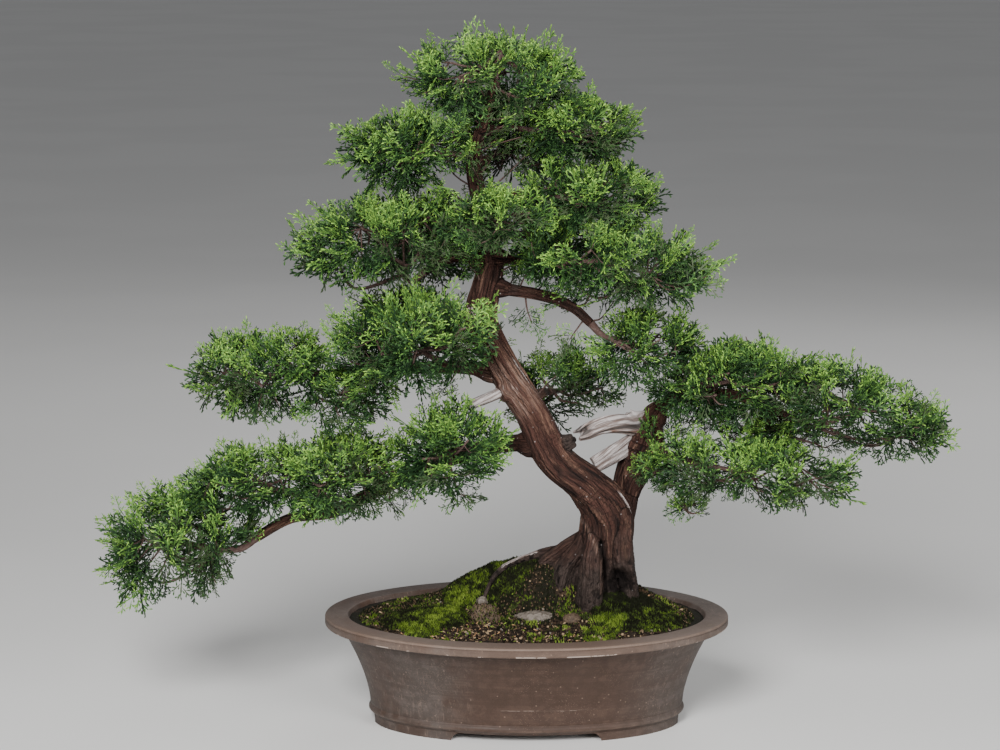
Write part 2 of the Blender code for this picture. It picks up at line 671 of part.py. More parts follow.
class Spray:
    """One spray of scale leaves: a thin toothed blade, thickest along its middle."""

    def __init__(self, tip, ahead, across, size):
        self.ahead = ahead * size * SPRAY_LENGTH_SHARE
        self.across = across * size * SPRAY_WIDTH_SHARE
        self.over = ahead.cross(across).normalized() * SPRAY_THICKNESS
        self.root = tip - self.ahead

    def outline(self):
        teeth = list(SPRAY_TEETH) + [(u, -v) for u, v in reversed(SPRAY_TEETH[:-1])]
        return [self.root + self.ahead * u + self.across * v for u, v in teeth]

    def probes(self):
        """Places all over the blade, to test whether it keeps clear."""
        edge = self.outline()
        halfway = [a.lerp(b, 0.5) for a, b in zip(edge, edge[1:] + edge[:1])]
        middle = [self.root + self.ahead * t for t in PROBE_SHARES]
        return edge + halfway + middle

    def solid(self):
        bm = bmesh.new()
        edge = [bm.verts.new(point) for point in self.outline()]
        for side in (-0.5, 0.5):
            ridge = bm.verts.new(self.root + self.ahead * SPRAY_RIDGE_AT + self.over * side)
            for i, vert in enumerate(edge):
                bm.faces.new((vert, edge[(i + 1) % len(edge)], ridge))
        return object_from(bm, "spray", "foliage")


def keeps_clear(space, limbs, points):
    """Whether points stay in the space and off every limb near it."""
    if not all(space.owns(point, SPRAY_LIMIT) for point in points):
        return False
    return all(LIMB_SHAPES[name].clearance(point) > BREATHING for point in points for name in limbs)


def sprays_of(space, heart, count):
    """Twigs and sprays by a seeded golden-angle rule. One that would leave the space is skipped."""
    chance = random.Random(space.name)
    limbs = near_limbs(space)
    size = sum(space.half) / 3
    pieces = []
    for i in range(count):
        height = 1 - 2 * (i + 0.5) / count
        turn = GOLDEN_ANGLE * i + chance.uniform(-0.3, 0.3)
        flat = math.sqrt(1 - height * height)
        direction = Vector((math.cos(turn) * flat, math.sin(turn) * flat, height))
        tip = space.place(direction, chance.uniform(*SPRAY_REACH))
        ahead = ((tip - space.middle).normalized() + Vector((0.0, 0.0, SPRAY_LIFT))).normalized()
        across = ahead.cross(Vector((chance.uniform(-1, 1), chance.uniform(-1, 1), 1.5))).normalized()
        spray = Spray(tip, ahead, across, size)
        if not keeps_clear(space, limbs, spray.probes()):
            continue
        pieces.append(spray.solid())
        if i % 2 == 0:
            way = (heart, spray.root + spray.ahead * TWIG_ENDS_AT)
            if keeps_clear(space, limbs, [heart.lerp(way[1], t) for t in PROBE_SHARES]):
                pieces.append(tapered(way, TWIG_RADII, 1, 3).solid("twig"))
    return pieces


def make_mass(space):
    """One mass: its core, the stem that meets its bough or the trunk, and its twigs and sprays."""
    carrier = LIMB_SHAPES[space.carrier]
    tip = carrier.centres[-1]
    heart = space.middle.copy()
    if space.name == "apex":
        heart = tip + Vector((0.0, 0.0, APEX_HEART))
    on_tip = space.carrier != "trunk" or space.name == "apex"
    start = tip if on_tip else min(carrier.centres, key=lambda centre: (centre - heart).length)
    radius = carrier.radii[-1] if on_tip else STEM_ROOT_RADIUS
    bend = start + (tip - carrier.centres[-2]).normalized() * (heart - start).length * STEM_BEND
    way = (start, bend if on_tip else start.lerp(heart, 0.5), heart)
    stem = tapered(way, (radius, STEM_TIP_RADIUS), 1, 5)
    count = SPRAYS_PER_SPRIG if max(space.half) < SPRIG_SIZE else SPRAYS_PER_MASS
    mass = core_solid(space)
    boolean(mass, [stem.solid("stem")] + sprays_of(space, heart, count), "UNION")
    boolean(mass, [limb_solid(space.carrier, TOUCH)], "DIFFERENCE")
    keep_largest_body(mass)
    mass.data.materials.clear()
    mass.data.materials.append(finish("foliage"))
    return mass


def bough_way(way, space):
    """A bough's way, led on to where its mass's dense part begins."""
    start = Vector(way[-1])
    steps = 200
    for i in range(steps):
        point = start.lerp(space.middle, i / steps)
        if space.share(point) <= BOUGH_ENDS_AT:
            break
    if (point - start).length < SHORTEST_LEAD:
        return way
    return way + (tuple(point),)


def collect_limbs():
    """Every limb's shape by name, the trunk first."""
    limbs = {"trunk": TRUNK}
    for name, (_, way, radii) in LIMBS.items():
        limbs[name] = tapered(way, radii, LIMB_STEPS, LIMB_SIDES, RIDGE_HEIGHT)
    for name, (_, way, radii) in BOUGHS.items():
        limbs[name] = tapered(bough_way(way, SPACES[name_of_mass(name)]), radii, BOUGH_STEPS, BOUGH_SIDES)
    return limbs


def name_of_mass(bough):
    """The mass at the end of a bough."""
    return {"left": "left_outer", "low_left": "low_left_outer", "right": "right_outer"}.get(bough, bough)


def settle_at_origin():
    """Carries every solid by one empty, so that the middle of the base outline is the origin."""
    solids = list(bpy.data.objects)
    corners = [vert.co for thing in solids for vert in thing.data.vertices]
    low = Vector(min(co[i] for co in corners) for i in range(3))
    high = Vector(max(co[i] for co in corners) for i in range(3))
    carrier = bpy.data.objects.new("bonsai", None)
    carrier.location = (-(low.x + high.x) / 2, -(low.y + high.y) / 2, -low.z)
    bpy.context.scene.collection.objects.link(carrier)
    for thing in solids:
        thing.parent = carrier


def main():
    clear_scene()
    make_pot()
    soil = soil_solid("soil")
    roots = [limb_solid("trunk", TOUCH), limb_solid("surface_root", TOUCH)]
    boolean(soil, roots, "DIFFERENCE")
    keep_largest_body(soil)
    for name, place in MOSS_PATCHES.items():
        moss = moss_patch(name, place)
        around = [limb_solid(root, TOUCH * 2) for root in ("trunk", "surface_root")]
        boolean(moss, around + [soil_solid("soil_copy", TOUCH)], "DIFFERENCE")
        keep_largest_body(moss)
    for seed, (name, place) in enumerate(STONES.items()):
        stone = stone_solid(name, place, seed)
        boolean(stone, [soil_solid("soil_copy", TOUCH)], "DIFFERENCE")
        keep_largest_body(stone)
    smooth_round(trunk_solid("trunk"))
    for name, (parent, _, _) in LIMBS.items():
        make_limb(name, parent, name, "deadwood" if name.startswith("jin") else "bark")
    for name, (parent, _, _) in BOUGHS.items():
        make_limb(name, parent, "bough_" + name, "bark")
    for space in SPACES.values():
        make_mass(space)
    settle_at_origin()


TRUNK = Limb(curve_through(TRUNK_WAY, TRUNK_STEPS), TRUNK_SIDES, RIDGE_HEIGHT)
SPACES = {name: Space(name, *row) for name, row in MASSES.items()}
LIMB_SHAPES = collect_limbs()

if __name__ == "__main__":
    main()
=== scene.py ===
"""Looks of a potted juniper bonsai, built around its packed solids.

Sizes are metres. The plant is worked out in its pot's own frame: X to the right, Y away from the
front, Z up, with the pot's middle on the Z axis and its feet at zero. Each finished mesh is then
carried to the place where the packed frame has the pot.
"""

import math
import zlib

import bpy
import numpy as np
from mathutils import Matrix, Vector, noise


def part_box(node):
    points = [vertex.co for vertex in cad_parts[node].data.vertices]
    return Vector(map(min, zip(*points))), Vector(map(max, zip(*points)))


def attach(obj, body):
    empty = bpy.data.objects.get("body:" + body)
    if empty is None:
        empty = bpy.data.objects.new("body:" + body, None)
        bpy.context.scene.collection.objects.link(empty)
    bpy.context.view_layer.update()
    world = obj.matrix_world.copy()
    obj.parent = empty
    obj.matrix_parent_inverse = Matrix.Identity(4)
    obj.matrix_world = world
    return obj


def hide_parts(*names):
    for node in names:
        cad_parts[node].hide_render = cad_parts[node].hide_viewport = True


bl_info = {
    "name": "Potted juniper bonsai",
    "version": (1, 0, 0),
    "blender": (4, 5, 0),
    "location": "View3D > Sidebar > Bonsai",
    "description": "Wood, foliage, pot and ground of a potted juniper around its packed solids",
    "category": "Object",
}

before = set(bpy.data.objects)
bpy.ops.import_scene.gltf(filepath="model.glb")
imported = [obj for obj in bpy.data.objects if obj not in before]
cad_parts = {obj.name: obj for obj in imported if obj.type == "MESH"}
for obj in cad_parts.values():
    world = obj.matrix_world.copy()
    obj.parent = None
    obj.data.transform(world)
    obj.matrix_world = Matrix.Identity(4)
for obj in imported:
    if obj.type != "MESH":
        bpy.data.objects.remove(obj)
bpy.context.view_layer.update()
POT_LOW, POT_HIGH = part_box("pot")
PLACE = np.array(((POT_LOW.x + POT_HIGH.x) / 2, (POT_LOW.y + POT_HIGH.y) / 2, 0.0))
UP = np.array((0.0, 0.0, 1.0))
GOLDEN_ANGLE = math.pi * (3.0 - math.sqrt(5.0))

# Pot: half length, half width and height of each level of its profile
POT_HEIGHT = 0.122
LIP_OUTER = (0.2250, 0.1573)
LIP_DEPTH = 0.011
LIP_WIDTH = 0.026
LIP_ROUNDING = 0.0022
LIP_GROOVE = (0.0031, 0.0007, 0.0006)
LIP_INNER_ROUNDING = 0.0018
WALL_TOP = (0.2085, 0.1405)
WALL_FOOT = (0.1750, 0.1020)
WALL_FOOT_Z = 0.021
WALL_CURVE = 1.6
WALL_THICKNESS = 0.011
INSIDE_LEVELS = (0.100, 0.062)
FLOOR_ROUNDING = 0.004
BEAD = (0.1768, 0.1037)
BEAD_Z = 0.016
BASE = (0.1722, 0.0992)
BASE_Z = 0.009
FLOOR_Z = 0.022
FOOT_RING_WIDTH = 0.016
FOOT_INSET = 0.0008
FOOT_GAP_FRONT = (0.087, 0.078)
FOOT_GAP_END = (0.018, 0.013)
FOOT_CURL = 0.0055
DRAIN_RADIUS = 0.010
DRAIN_X = 0.075
POT_SEGMENTS = 192
# Painted highlight on the lip: its share on the lip's face and on its top
LIP_PAINTED_HIGHLIGHT = (0.16, 0.40)
# The scratch along the front: its height and the stretch of it in x
SCRATCH_Z = 0.0385
SCRATCH_FROM = (-0.040, -0.015)
SCRATCH_TO = (0.085, 0.065)

# Soil, moss and stones
SOIL_EDGE_Z = 0.1165
SOIL_INTO_WALL = 0.0005
SOIL_CROWN = 0.006
ROOT_RISE = (0.090, 0.045, 0.060, 0.060, 0.030)
ROOT_MOUND = (0.015, 0.035, 0.055, 0.045, 0.038)
LEFT_MOUND = (-0.045, 0.065, 0.050, 0.040, 0.028)
FOOT_MOUND = (0.020, 0.004, 0.045, 0.026, 0.014)
SOIL_EVEN_BAND = 0.25
SOIL_ROUGH_HEIGHT = 0.0015
SOIL_ROUGH_FINENESS = 40
MOSS_RAGGED = 0.10
MOSS_PATCHES = {
    "moss_mound": (-0.030, 0.050, 0.066, 0.056, 0.005),
    "moss_left": (-0.112, -0.028, 0.048, 0.046, 0.006),
    "moss_right": (0.122, -0.024, 0.052, 0.046, 0.006),
}
STONES = {
    "stone_flat": (0.010, -0.034, 0.023, 0.012, 0.007),
    "stone_round": (-0.0492, -0.030, 0.0062, 0.0058, 0.0062),
    "stone_tan": (0.050, -0.046, 0.010, 0.008, 0.007),
}
STONE_WORN = 0.16
STONE_WEAR_FINENESS = 1.4
STONE_SHOWS = {"stone_flat": -0.35, "stone_round": 3.0, "stone_tan": 0.25}
# The brown clump under the round stone: its middle, half sizes, and how much of it shows
CLUMP = (-0.0470, -0.036, 0.0170, 0.0130, 0.0140)
CLUMP_SHOWS = 0.38
CLUMP_TUFTS = 700

# Height of the trunk's flat cut
GROUND_Z = 0.128
# Trunk: places along its axis and its half thickness there, from the ground to the tip
TRUNK_WAY = (
    (0.081, 0.016, 0.118, 0.031),
    (0.084, 0.013, 0.168, 0.030),
    (0.089, 0.006, 0.212, 0.031),
    (0.087, 0.000, 0.240, 0.029),
    (0.066, -0.005, 0.268, 0.0225),
    (0.040, -0.010, 0.290, 0.0205),
    (0.024, -0.013, 0.312, 0.0205),
    (0.006, -0.015, 0.352, 0.0185),
    (-0.014, -0.012, 0.383, 0.0185),
    (-0.038, -0.006, 0.424, 0.0175),
    (-0.052, -0.002, 0.455, 0.0185),
    (-0.046, 0.004, 0.490, 0.0160),
    (-0.040, 0.009, 0.520, 0.0130),
    (-0.050, 0.010, 0.577, 0.0100),
    (-0.058, 0.002, 0.628, 0.0078),
    (-0.046, -0.007, 0.674, 0.0060),
    (-0.033, -0.015, 0.722, 0.0042),
    (-0.029, -0.017, 0.738, 0.0032),
)

# Root flare: each root's way from high on the trunk to the ground, and its half thickness at both ends
ROOTS = (
    ((0.080, -0.008, 0.226), (0.072, -0.019, 0.192), (0.070, -0.019, 0.160), (0.067, -0.010, 0.118),
     0.010, 0.0170),
    ((0.084, 0.000, 0.236), (0.067, 0.004, 0.200), (0.046, 0.010, 0.168), (0.033, 0.014, 0.118),
     0.0135, 0.0210),
    ((0.104, -0.012, 0.236), (0.106, -0.011, 0.188), (0.117, 0.018, 0.118), 0.013, 0.0130),
    ((0.088, 0.024, 0.210), (0.096, 0.048, 0.165), (0.106, 0.066, 0.118), 0.015, 0.0140),
    ((0.080, 0.014, 0.226), (0.066, 0.030, 0.190), (0.048, 0.048, 0.160), (0.034, 0.062, 0.118),
     0.014, 0.0130),
    ((0.066, 0.006, 0.205), (0.046, 0.010, 0.194), (0.026, 0.016, 0.179), (0.008, 0.020, 0.166),
     0.012, 0.0080),
)
SECOND_TRUNK = (
    ((0.094, 0.014, 0.190), (0.109, 0.038, 0.232), (0.113, 0.048, 0.268), (0.124, 0.052, 0.302),
     (0.139, 0.050, 0.330)),
    (0.0165, 0.0115),
)
SURFACE_ROOT = (
    ((0.040, 0.014, 0.190), (0.024, 0.020, 0.186), (0.0106, 0.025, 0.181), (-0.0074, 0.026, 0.1745),
     (-0.0253, 0.022, 0.167), (-0.0380, 0.014, 0.1555), (-0.0470, 0.004, 0.137), (-0.054, -0.006, 0.116)),
    (0.0085, 0.0028),
)
# The thick fork under the right bough: the way and half thickness of each swelling
FORK_SWELLS = (
    (((0.1110, 0.042, 0.244), (0.1230, 0.049, 0.276), (0.1325, 0.052, 0.298)), (0.0130, 0.0235)),
    (((0.1325, 0.052, 0.298), (0.1370, 0.051, 0.315), (0.1400, 0.050, 0.331)), (0.0235, 0.0125)),
)
KNOT = (((0.034, -0.014, 0.314), (0.0520, -0.018, 0.322)), (0.0120, 0.0080))

# Boughs: the limb each leaves, the way to the mass it carries, and its half thickness at both ends
BOUGHS = {
    "low_left": ("trunk", ((0.020, -0.014, 0.318), (-0.030, 0.008, 0.312), (-0.095, 0.028, 0.288),
                           (-0.165, 0.030, 0.256), (-0.215, 0.018, 0.234), (-0.262, 0.000, 0.230),
                           (-0.300, -0.010, 0.210)), (0.0105, 0.0055)),
    "low_left_mid": ("low_left", ((-0.150, 0.030, 0.262), (-0.176, 0.010, 0.272)), (0.0050, 0.0038)),
    "low_left_top": ("low_left", ((-0.215, 0.018, 0.234), (-0.246, -0.004, 0.252)), (0.0046, 0.0036)),
    "low_left_inner": ("low_left", ((-0.030, 0.008, 0.312), (-0.050, -0.014, 0.316)), (0.0055, 0.0040)),
    "left": ("trunk", ((-0.022, -0.010, 0.394), (-0.070, 0.000, 0.400), (-0.130, 0.004, 0.398),
                       (-0.190, -0.010, 0.396)), (0.0085, 0.0048)),
    "left_inner": ("left", ((-0.084, 0.002, 0.400), (-0.096, -0.018, 0.410)), (0.0048, 0.0040)),
    "mid_left": ("trunk", ((-0.041, 0.008, 0.512), (-0.075, 0.004, 0.522), (-0.112, 0.000, 0.506)),
                 (0.0075, 0.0045)),
    "mid_right": ("trunk", ((-0.040, 0.009, 0.520), (-0.010, 0.000, 0.520)), (0.0080, 0.0050)),
    "drop_right": ("trunk", ((-0.046, 0.004, 0.490), (0.020, 0.004, 0.478), (0.050, 0.002, 0.466),
                             (0.070, 0.000, 0.449)), (0.0075, 0.0050)),
    "right": ("second_trunk", ((0.1390, 0.050, 0.330), (0.156, 0.047, 0.352), (0.190, 0.038, 0.363),
                               (0.240, 0.024, 0.362), (0.272, 0.012, 0.350), (0.296, 0.004, 0.342)),
              (0.0098, 0.0042)),
    "right_inner": ("right", ((0.170, 0.043, 0.357), (0.178, 0.028, 0.366)), (0.0045, 0.0038)),
    "right_lower": ("second_trunk", ((0.122, 0.051, 0.298), (0.150, 0.024, 0.300), (0.168, 0.004, 0.298)),
                    (0.0070, 0.0042)),
    "hanging_sprig": ("right_lower", ((0.150, 0.024, 0.300), (0.164, 0.004, 0.274)), (0.0026, 0.0018)),
    "back_low": ("trunk", ((-0.002, -0.014, 0.364), (0.016, 0.050, 0.362)), (0.0070, 0.0045)),
    "back_right": ("right", ((0.152, 0.048, 0.347), (0.180, 0.084, 0.356)), (0.0052, 0.0042)),
    "back_left": ("trunk", ((-0.034, -0.006, 0.418), (-0.060, 0.046, 0.424)), (0.0065, 0.0045)),
    "back_mid_left": ("trunk", ((-0.041, 0.008, 0.536), (-0.066, 0.056, 0.530)), (0.0060, 0.0042)),
    "back_mid_right": ("trunk", ((-0.041, 0.008, 0.545), (-0.014, 0.056, 0.540)), (0.0060, 0.0042)),
    "shoulder_right": ("trunk", ((-0.050, 0.010, 0.584), (-0.016, 0.000, 0.590)), (0.0055, 0.0040)),
    "front_mid": ("trunk", ((-0.048, 0.010, 0.566), (-0.040, -0.022, 0.570)), (0.0050, 0.0036)),
    "back_upper": ("trunk", ((-0.058, 0.002, 0.626), (-0.040, 0.034, 0.628)), (0.0048, 0.0036)),
    "upper_right": ("trunk", ((-0.050, -0.004, 0.660), (-0.020, -0.006, 0.664)), (0.0045, 0.0034)),
}
OUTERMOST = {"left": "left_outer", "low_left": "low_left_outer", "right": "right_outer"}

# Foliage: middle, half sizes and tilt in degrees of each mass's space, and the limb that carries it
MASSES = {
    "apex": ((-0.035, -0.008, 0.714), (0.098, 0.084, 0.053), 2, "trunk"),
    "upper_left": ((-0.128, -0.012, 0.638), (0.078, 0.070, 0.051), -6, "trunk"),
    "upper_right": ((0.058, -0.014, 0.660), (0.070, 0.064, 0.044), 8, "upper_right"),
    "shoulder_right": ((0.070, -0.026, 0.590), (0.084, 0.072, 0.044), 6, "shoulder_right"),
    "back_upper": ((-0.010, 0.100, 0.634), (0.084, 0.062, 0.060), 0, "back_upper"),
    "front_mid": ((-0.030, -0.080, 0.572), (0.066, 0.050, 0.038), 0, "front_mid"),
    "mid_left": ((-0.156, -0.022, 0.544), (0.108, 0.088, 0.051), -9, "mid_left"),
    "mid_right": ((0.090, -0.034, 0.521), (0.120, 0.090, 0.047), 9, "mid_right"),
    "back_mid_left": ((-0.106, 0.128, 0.524), (0.084, 0.066, 0.052), 0, "back_mid_left"),
    "back_mid_right": ((0.040, 0.130, 0.530), (0.086, 0.066, 0.052), 0, "back_mid_right"),
    "drop_right": ((0.133, -0.004, 0.424), (0.066, 0.062, 0.045), 5, "drop_right"),
    "back_low": ((0.040, 0.142, 0.350), (0.076, 0.066, 0.048), 0, "back_low"),
    "left_inner": ((-0.124, -0.070, 0.434), (0.098, 0.068, 0.060), -4, "left_inner"),
    "left_outer": ((-0.284, -0.028, 0.396), (0.088, 0.078, 0.050), -5, "left"),
    "back_left": ((-0.136, 0.118, 0.424), (0.086, 0.066, 0.052), 0, "back_left"),
    "low_left_inner": ((-0.082, -0.066, 0.316), (0.068, 0.064, 0.058), -8, "low_left_inner"),
    "low_left_mid": ((-0.200, -0.034, 0.284), (0.086, 0.074, 0.052), -10, "low_left_mid"),
    "low_left_top": ((-0.300, -0.026, 0.276), (0.084, 0.070, 0.042), -10, "low_left_top"),
    "low_left_outer": ((-0.381, -0.018, 0.206), (0.097, 0.078, 0.067), -20, "low_left"),
    "right_inner": ((0.222, -0.002, 0.384), (0.086, 0.068, 0.050), 0, "right_inner"),
    "right_outer": ((0.366, -0.008, 0.354), (0.103, 0.078, 0.047), 19, "right"),
    "right_lower": ((0.246, -0.050, 0.292), (0.126, 0.068, 0.038), 4, "right_lower"),
    "back_right": ((0.254, 0.120, 0.362), (0.088, 0.064, 0.048), 0, "back_right"),
    "hanging_sprig": ((0.176, -0.028, 0.246), (0.026, 0.022, 0.024), 0, "hanging_sprig"),
}
# Thinner foliage that joins neighbouring masses, laid out the same way
JOINING = {
    "left_join": ((-0.196, -0.045, 0.372), (0.060, 0.054, 0.036), -4, "left"),
    "right_join": ((0.266, 0.028, 0.322), (0.094, 0.048, 0.027), 6, "right"),
    "fork_front": ((0.142, -0.018, 0.286), (0.031, 0.028, 0.024), 0, "right_lower"),
}
APEX_HEART = 0.010
BOUGH_ENDS_AT = 0.96
SHORTEST_LEAD = 0.008

# Camera of the photograph: eye in the pot's frame, turn in degrees, lens and sensor in millimetres
EYE = (0.0, -3.2, 0.9377)
CAMERA_TURN = (90 - 9.69, 0.0, 0.53)
LENS = 106.08
SENSOR = 36.0

# Distance between the places along a limb, and how finely its mesh is rounded
LIMB_STEP = 0.004
LIMB_CURVE_SIDES = 3


def unit(vectors):
    """Vectors scaled to length one."""
    return vectors / np.maximum(np.linalg.norm(vectors, axis=-1, keepdims=True), 1e-12)


def smooth_part(a, b, c, d, t):
    """Places from b to c on a smooth curve through four points, by the Catmull-Rom rule."""
    square = 2 * a - 5 * b + 4 * c - d
    cube = 3 * b - a - 3 * c + d
    return (2 * b + (c - a) * t + square * t**2 + cube * t**3) * 0.5


def curve_through(points, steps):
    """Points and sizes on a smooth curve through the given ones."""
    rows = np.array(points, float)
    rows = np.vstack((2 * rows[0] - rows[1], rows, 2 * rows[-1] - rows[-2]))
    t = (np.arange(steps) / steps)[:, None]
    smooth = [smooth_part(*four, t) for four in zip(rows, rows[1:], rows[2:], rows[3:])]
    return np.vstack(smooth + [rows[-2:-1]])


class Limb:
    """A tapering round limb on a smooth way, with two directions across it carried along untwisted."""

    def __init__(self, rows):
        self.centres = rows[:, :3]
        self.radii = rows[:, 3]
        lengths = np.linalg.norm(np.diff(self.centres, axis=0), axis=1)
        self.along = np.concatenate(([0.0], np.cumsum(lengths)))
        self.ahead = unit(np.gradient(self.centres, axis=0))
        self.across = np.zeros_like(self.ahead)
        across = np.array((0.0, 1.0, 0.0))
        for i, ahead in enumerate(self.ahead):
            across = unit(across - ahead * across.dot(ahead))
            self.across[i] = across
        self.over = np.cross(self.ahead, self.across)

    def clearance(self, points):
        """How far points are outside the limb's surface."""
        return nearest_limb(points, [self])["gap"]


def tapered(way, radii):
    """A limb on a smooth way, its thickness falling evenly from one end to the other."""
    points = np.array(way, float)
    length = np.linalg.norm(np.diff(points, axis=0), axis=1).max()
    steps = max(2, math.ceil(length / LIMB_STEP))
    centres = curve_through(points, steps)
    return Limb(np.column_stack((centres, np.linspace(radii[0], radii[1], len(centres)))))


def nearest_limb(points, limbs):
    """For each point, the limb whose surface is nearest: its number, the place along it, the angle
    round it, its half thickness there and the gap to its surface."""
    count = len(points)
    found = {key: np.zeros(count) for key in ("along", "turn", "radius")}
    found["number"] = np.zeros(count, int)
    found["gap"] = np.full(count, np.inf)
    for number, limb in enumerate(limbs):
        for i in range(len(limb.centres) - 1):
            way = limb.centres[i + 1] - limb.centres[i]
            from_start = points - limb.centres[i]
            t = np.clip(from_start @ way / (way @ way), 0.0, 1.0)
            offset = from_start - t[:, None] * way
            radius = limb.radii[i] + (limb.radii[i + 1] - limb.radii[i]) * t
            gap = np.linalg.norm(offset, axis=1) - radius
            closer = np.nonzero(gap < found["gap"])[0]
            found["gap"][closer] = gap[closer]
            found["number"][closer] = number
            found["radius"][closer] = radius[closer]
            found["along"][closer] = limb.along[i] + t[closer] * np.linalg.norm(way)
            side = offset[closer]
            found["turn"][closer] = np.arctan2(side @ limb.over[i], side @ limb.across[i])
    return found


def noise_at(points):
    """Smooth noise from -1 to 1 at each point."""
    return np.array([noise.noise(Vector(point)) for point in points])


def between(values, low, high):
    """Rises smoothly from 0 at low to 1 at high."""
    t = np.clip((values - low) / (high - low), 0.0, 1.0)
    return t * t * (3 - 2 * t)


def bell(gap, width=1.0):
    """Falls from 1 where the gap is nothing, softly, past the width given."""
    return np.exp(-((gap / width) ** 2))


class Space:
    """The room that one mass of foliage keeps to."""

    def __init__(self, name, middle, half, tilt, carrier):
        self.name = name
        self.middle = np.array(middle)
        self.half = np.array(half)
        angle = math.radians(tilt)
        self.turn = np.array(((math.cos(angle), 0, math.sin(angle)), (0, 1, 0),
                              (-math.sin(angle), 0, math.cos(angle))))
        self.carrier = carrier

    def place(self, directions, shares):
        """Points out along unit directions: share 0 is the middle and 1 the border."""
        return self.middle + (directions * self.half * np.asarray(shares)[..., None]) @ self.turn.T

    def share(self, points):
        local = (points - self.middle) @ self.turn
        return np.linalg.norm(local / self.half, axis=-1)

    def outward(self, points):
        """Directions straight out of the space's rounded form."""
        local = (points - self.middle) @ self.turn
        return unit((local / self.half**2) @ self.turn.T)

    def area(self):
        """Surface of the rounded form, by Thomsen's rule."""
        a, b, c = self.half**1.6075
        return 4 * math.pi * ((a * b + a * c + b * c) / 3) ** (1 / 1.6075)


SPACES = {name: Space(name, *row) for name, row in MASSES.items()}
JOINING_SPACES = {name: Space(name, *row) for name, row in JOINING.items()}


def bough_way(way, space):
    """A bough's way, led on to where its mass's dense part begins."""
    start = np.array(way[-1])
    points = start + (space.middle - start) * np.linspace(0, 1, 200)[:, None]
    inside = np.nonzero(space.share(points) <= BOUGH_ENDS_AT)[0]
    point = points[inside[0]]
    if np.linalg.norm(point - start) < SHORTEST_LEAD:
        return way
    return way + (tuple(point),)


TRUNK = Limb(curve_through(TRUNK_WAY, 8))
SECOND = tapered(*SECOND_TRUNK)
CREEPING_ROOT = tapered(*SURFACE_ROOT)
BOUGH_LIMBS = {
    name: tapered(bough_way(way, SPACES[OUTERMOST.get(name, name)]), radii)
    for name, (_, way, radii) in BOUGHS.items()
}
CARRIERS = {"trunk": TRUNK, "second_trunk": SECOND, **BOUGH_LIMBS}


def to_mode(mode):
    bpy.ops.object.mode_set(mode=mode)


def deselect_all():
    if bpy.context.object and bpy.context.object.mode != "OBJECT":
        to_mode("OBJECT")
    bpy.ops.object.select_all(action="DESELECT")


def choose(thing):
    """Selects one thing alone and makes it the active one."""
    deselect_all()
    thing.select_set(True)
    bpy.context.view_layer.objects.active = thing


def points_of(mesh):
    points = np.zeros(len(mesh.vertices) * 3)
    mesh.vertices.foreach_get("co", points)
    return points.reshape(-1, 3)


def set_points(mesh, points):
    mesh.vertices.foreach_set("co", np.asarray(points, float).ravel())
    mesh.update()


def normals_of(mesh):
    normals = np.zeros(len(mesh.vertices) * 3)
    mesh.vertex_normals.foreach_get("vector", normals)
    return normals.reshape(-1, 3)


def keep_values(mesh, name, values):
    """Stores one value or vector for each point of a mesh, for its material to read."""
    flat = np.asarray(values, np.float32)
    kind = "FLOAT_VECTOR" if flat.ndim == 2 else "FLOAT"
    attribute = mesh.attributes.get(name) or mesh.attributes.new(name, kind, "POINT")
    attribute.data.foreach_set("vector" if flat.ndim == 2 else "value", flat.ravel())


def mesh_object(name, points, faces, smooth=False):
    """An object from arrays of points and of faces that all have the same number of corners."""
    mesh = bpy.data.meshes.new(name)
    mesh.vertices.add(len(points))
    mesh.vertices.foreach_set("co", np.asarray(points, float).ravel())
    mesh.loops.add(faces.size)
    mesh.loops.foreach_set("vertex_index", faces.ravel().astype(np.int32))
    mesh.polygons.add(len(faces))
    mesh.polygons.foreach_set("loop_start", np.arange(0, faces.size, faces.shape[1], dtype=np.int32))
    mesh.update(calc_edges=True)
    mesh.polygons.foreach_set("use_smooth", np.full(len(faces), smooth))
    thing = bpy.data.objects.new(name, mesh)
    bpy.context.scene.collection.objects.link(thing)
    return thing


def apply_modifier(thing, kind, **settings):
    """Adds one modifier with its settings and applies it."""
    choose(thing)
    modifier = thing.modifiers.new(kind.title(), kind)
    for key, value in settings.items():
        setattr(modifier, key, value)
    bpy.ops.object.modifier_apply(modifier=modifier.name)


def join(things, name):
    """Joins objects into the first one."""
    deselect_all()
    for thing in things:
        thing.select_set(True)
    bpy.context.view_layer.objects.active = things[0]
    if len(things) > 1:
        bpy.ops.object.join()
    things[0].name = name
    things[0].data.name = name
    return things[0]


def copies(faces, corners, count):
    """The faces of many copies of one shape, whose points follow each other."""
    return (faces[None] + corners * np.arange(count)[:, None, None]).reshape(-1, 3)


def deal(thing, materials, slots, faces_each=1):
    """Gives a piece its plain colours, and each small shape in it the one it is dealt."""
    for material in materials:
        thing.data.materials.append(material)
    thing.data.polygons.foreach_set("material_index", np.repeat(slots, faces_each).astype(np.int32))


def wall_faces(rings, sides):
    """Triangles that join each ring of points to the next."""
    s = np.arange(sides)
    n = (s + 1) % sides
    faces = []
    for k in range(rings - 1):
        low, high = k * sides, (k + 1) * sides
        faces.append(np.column_stack((low + s, low + n, high + n)))
        faces.append(np.column_stack((low + s, high + n, high + s)))
    return faces


def settle(thing, nodes=(), material=None):
    """Carries a finished piece from the pot's frame to its place, hangs it under the root body, and hides the
    packed parts it replaces.
    """
    if material:
        thing.data.materials.clear()
        thing.data.materials.append(material)
    set_points(thing.data, points_of(thing.data) + PLACE)
    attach(thing, "root")
    if nodes:
        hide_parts(*nodes)
    return thing


# Nodes of materials

FAINT_SHINE = 0.14
LOW_SHINE = 0.2


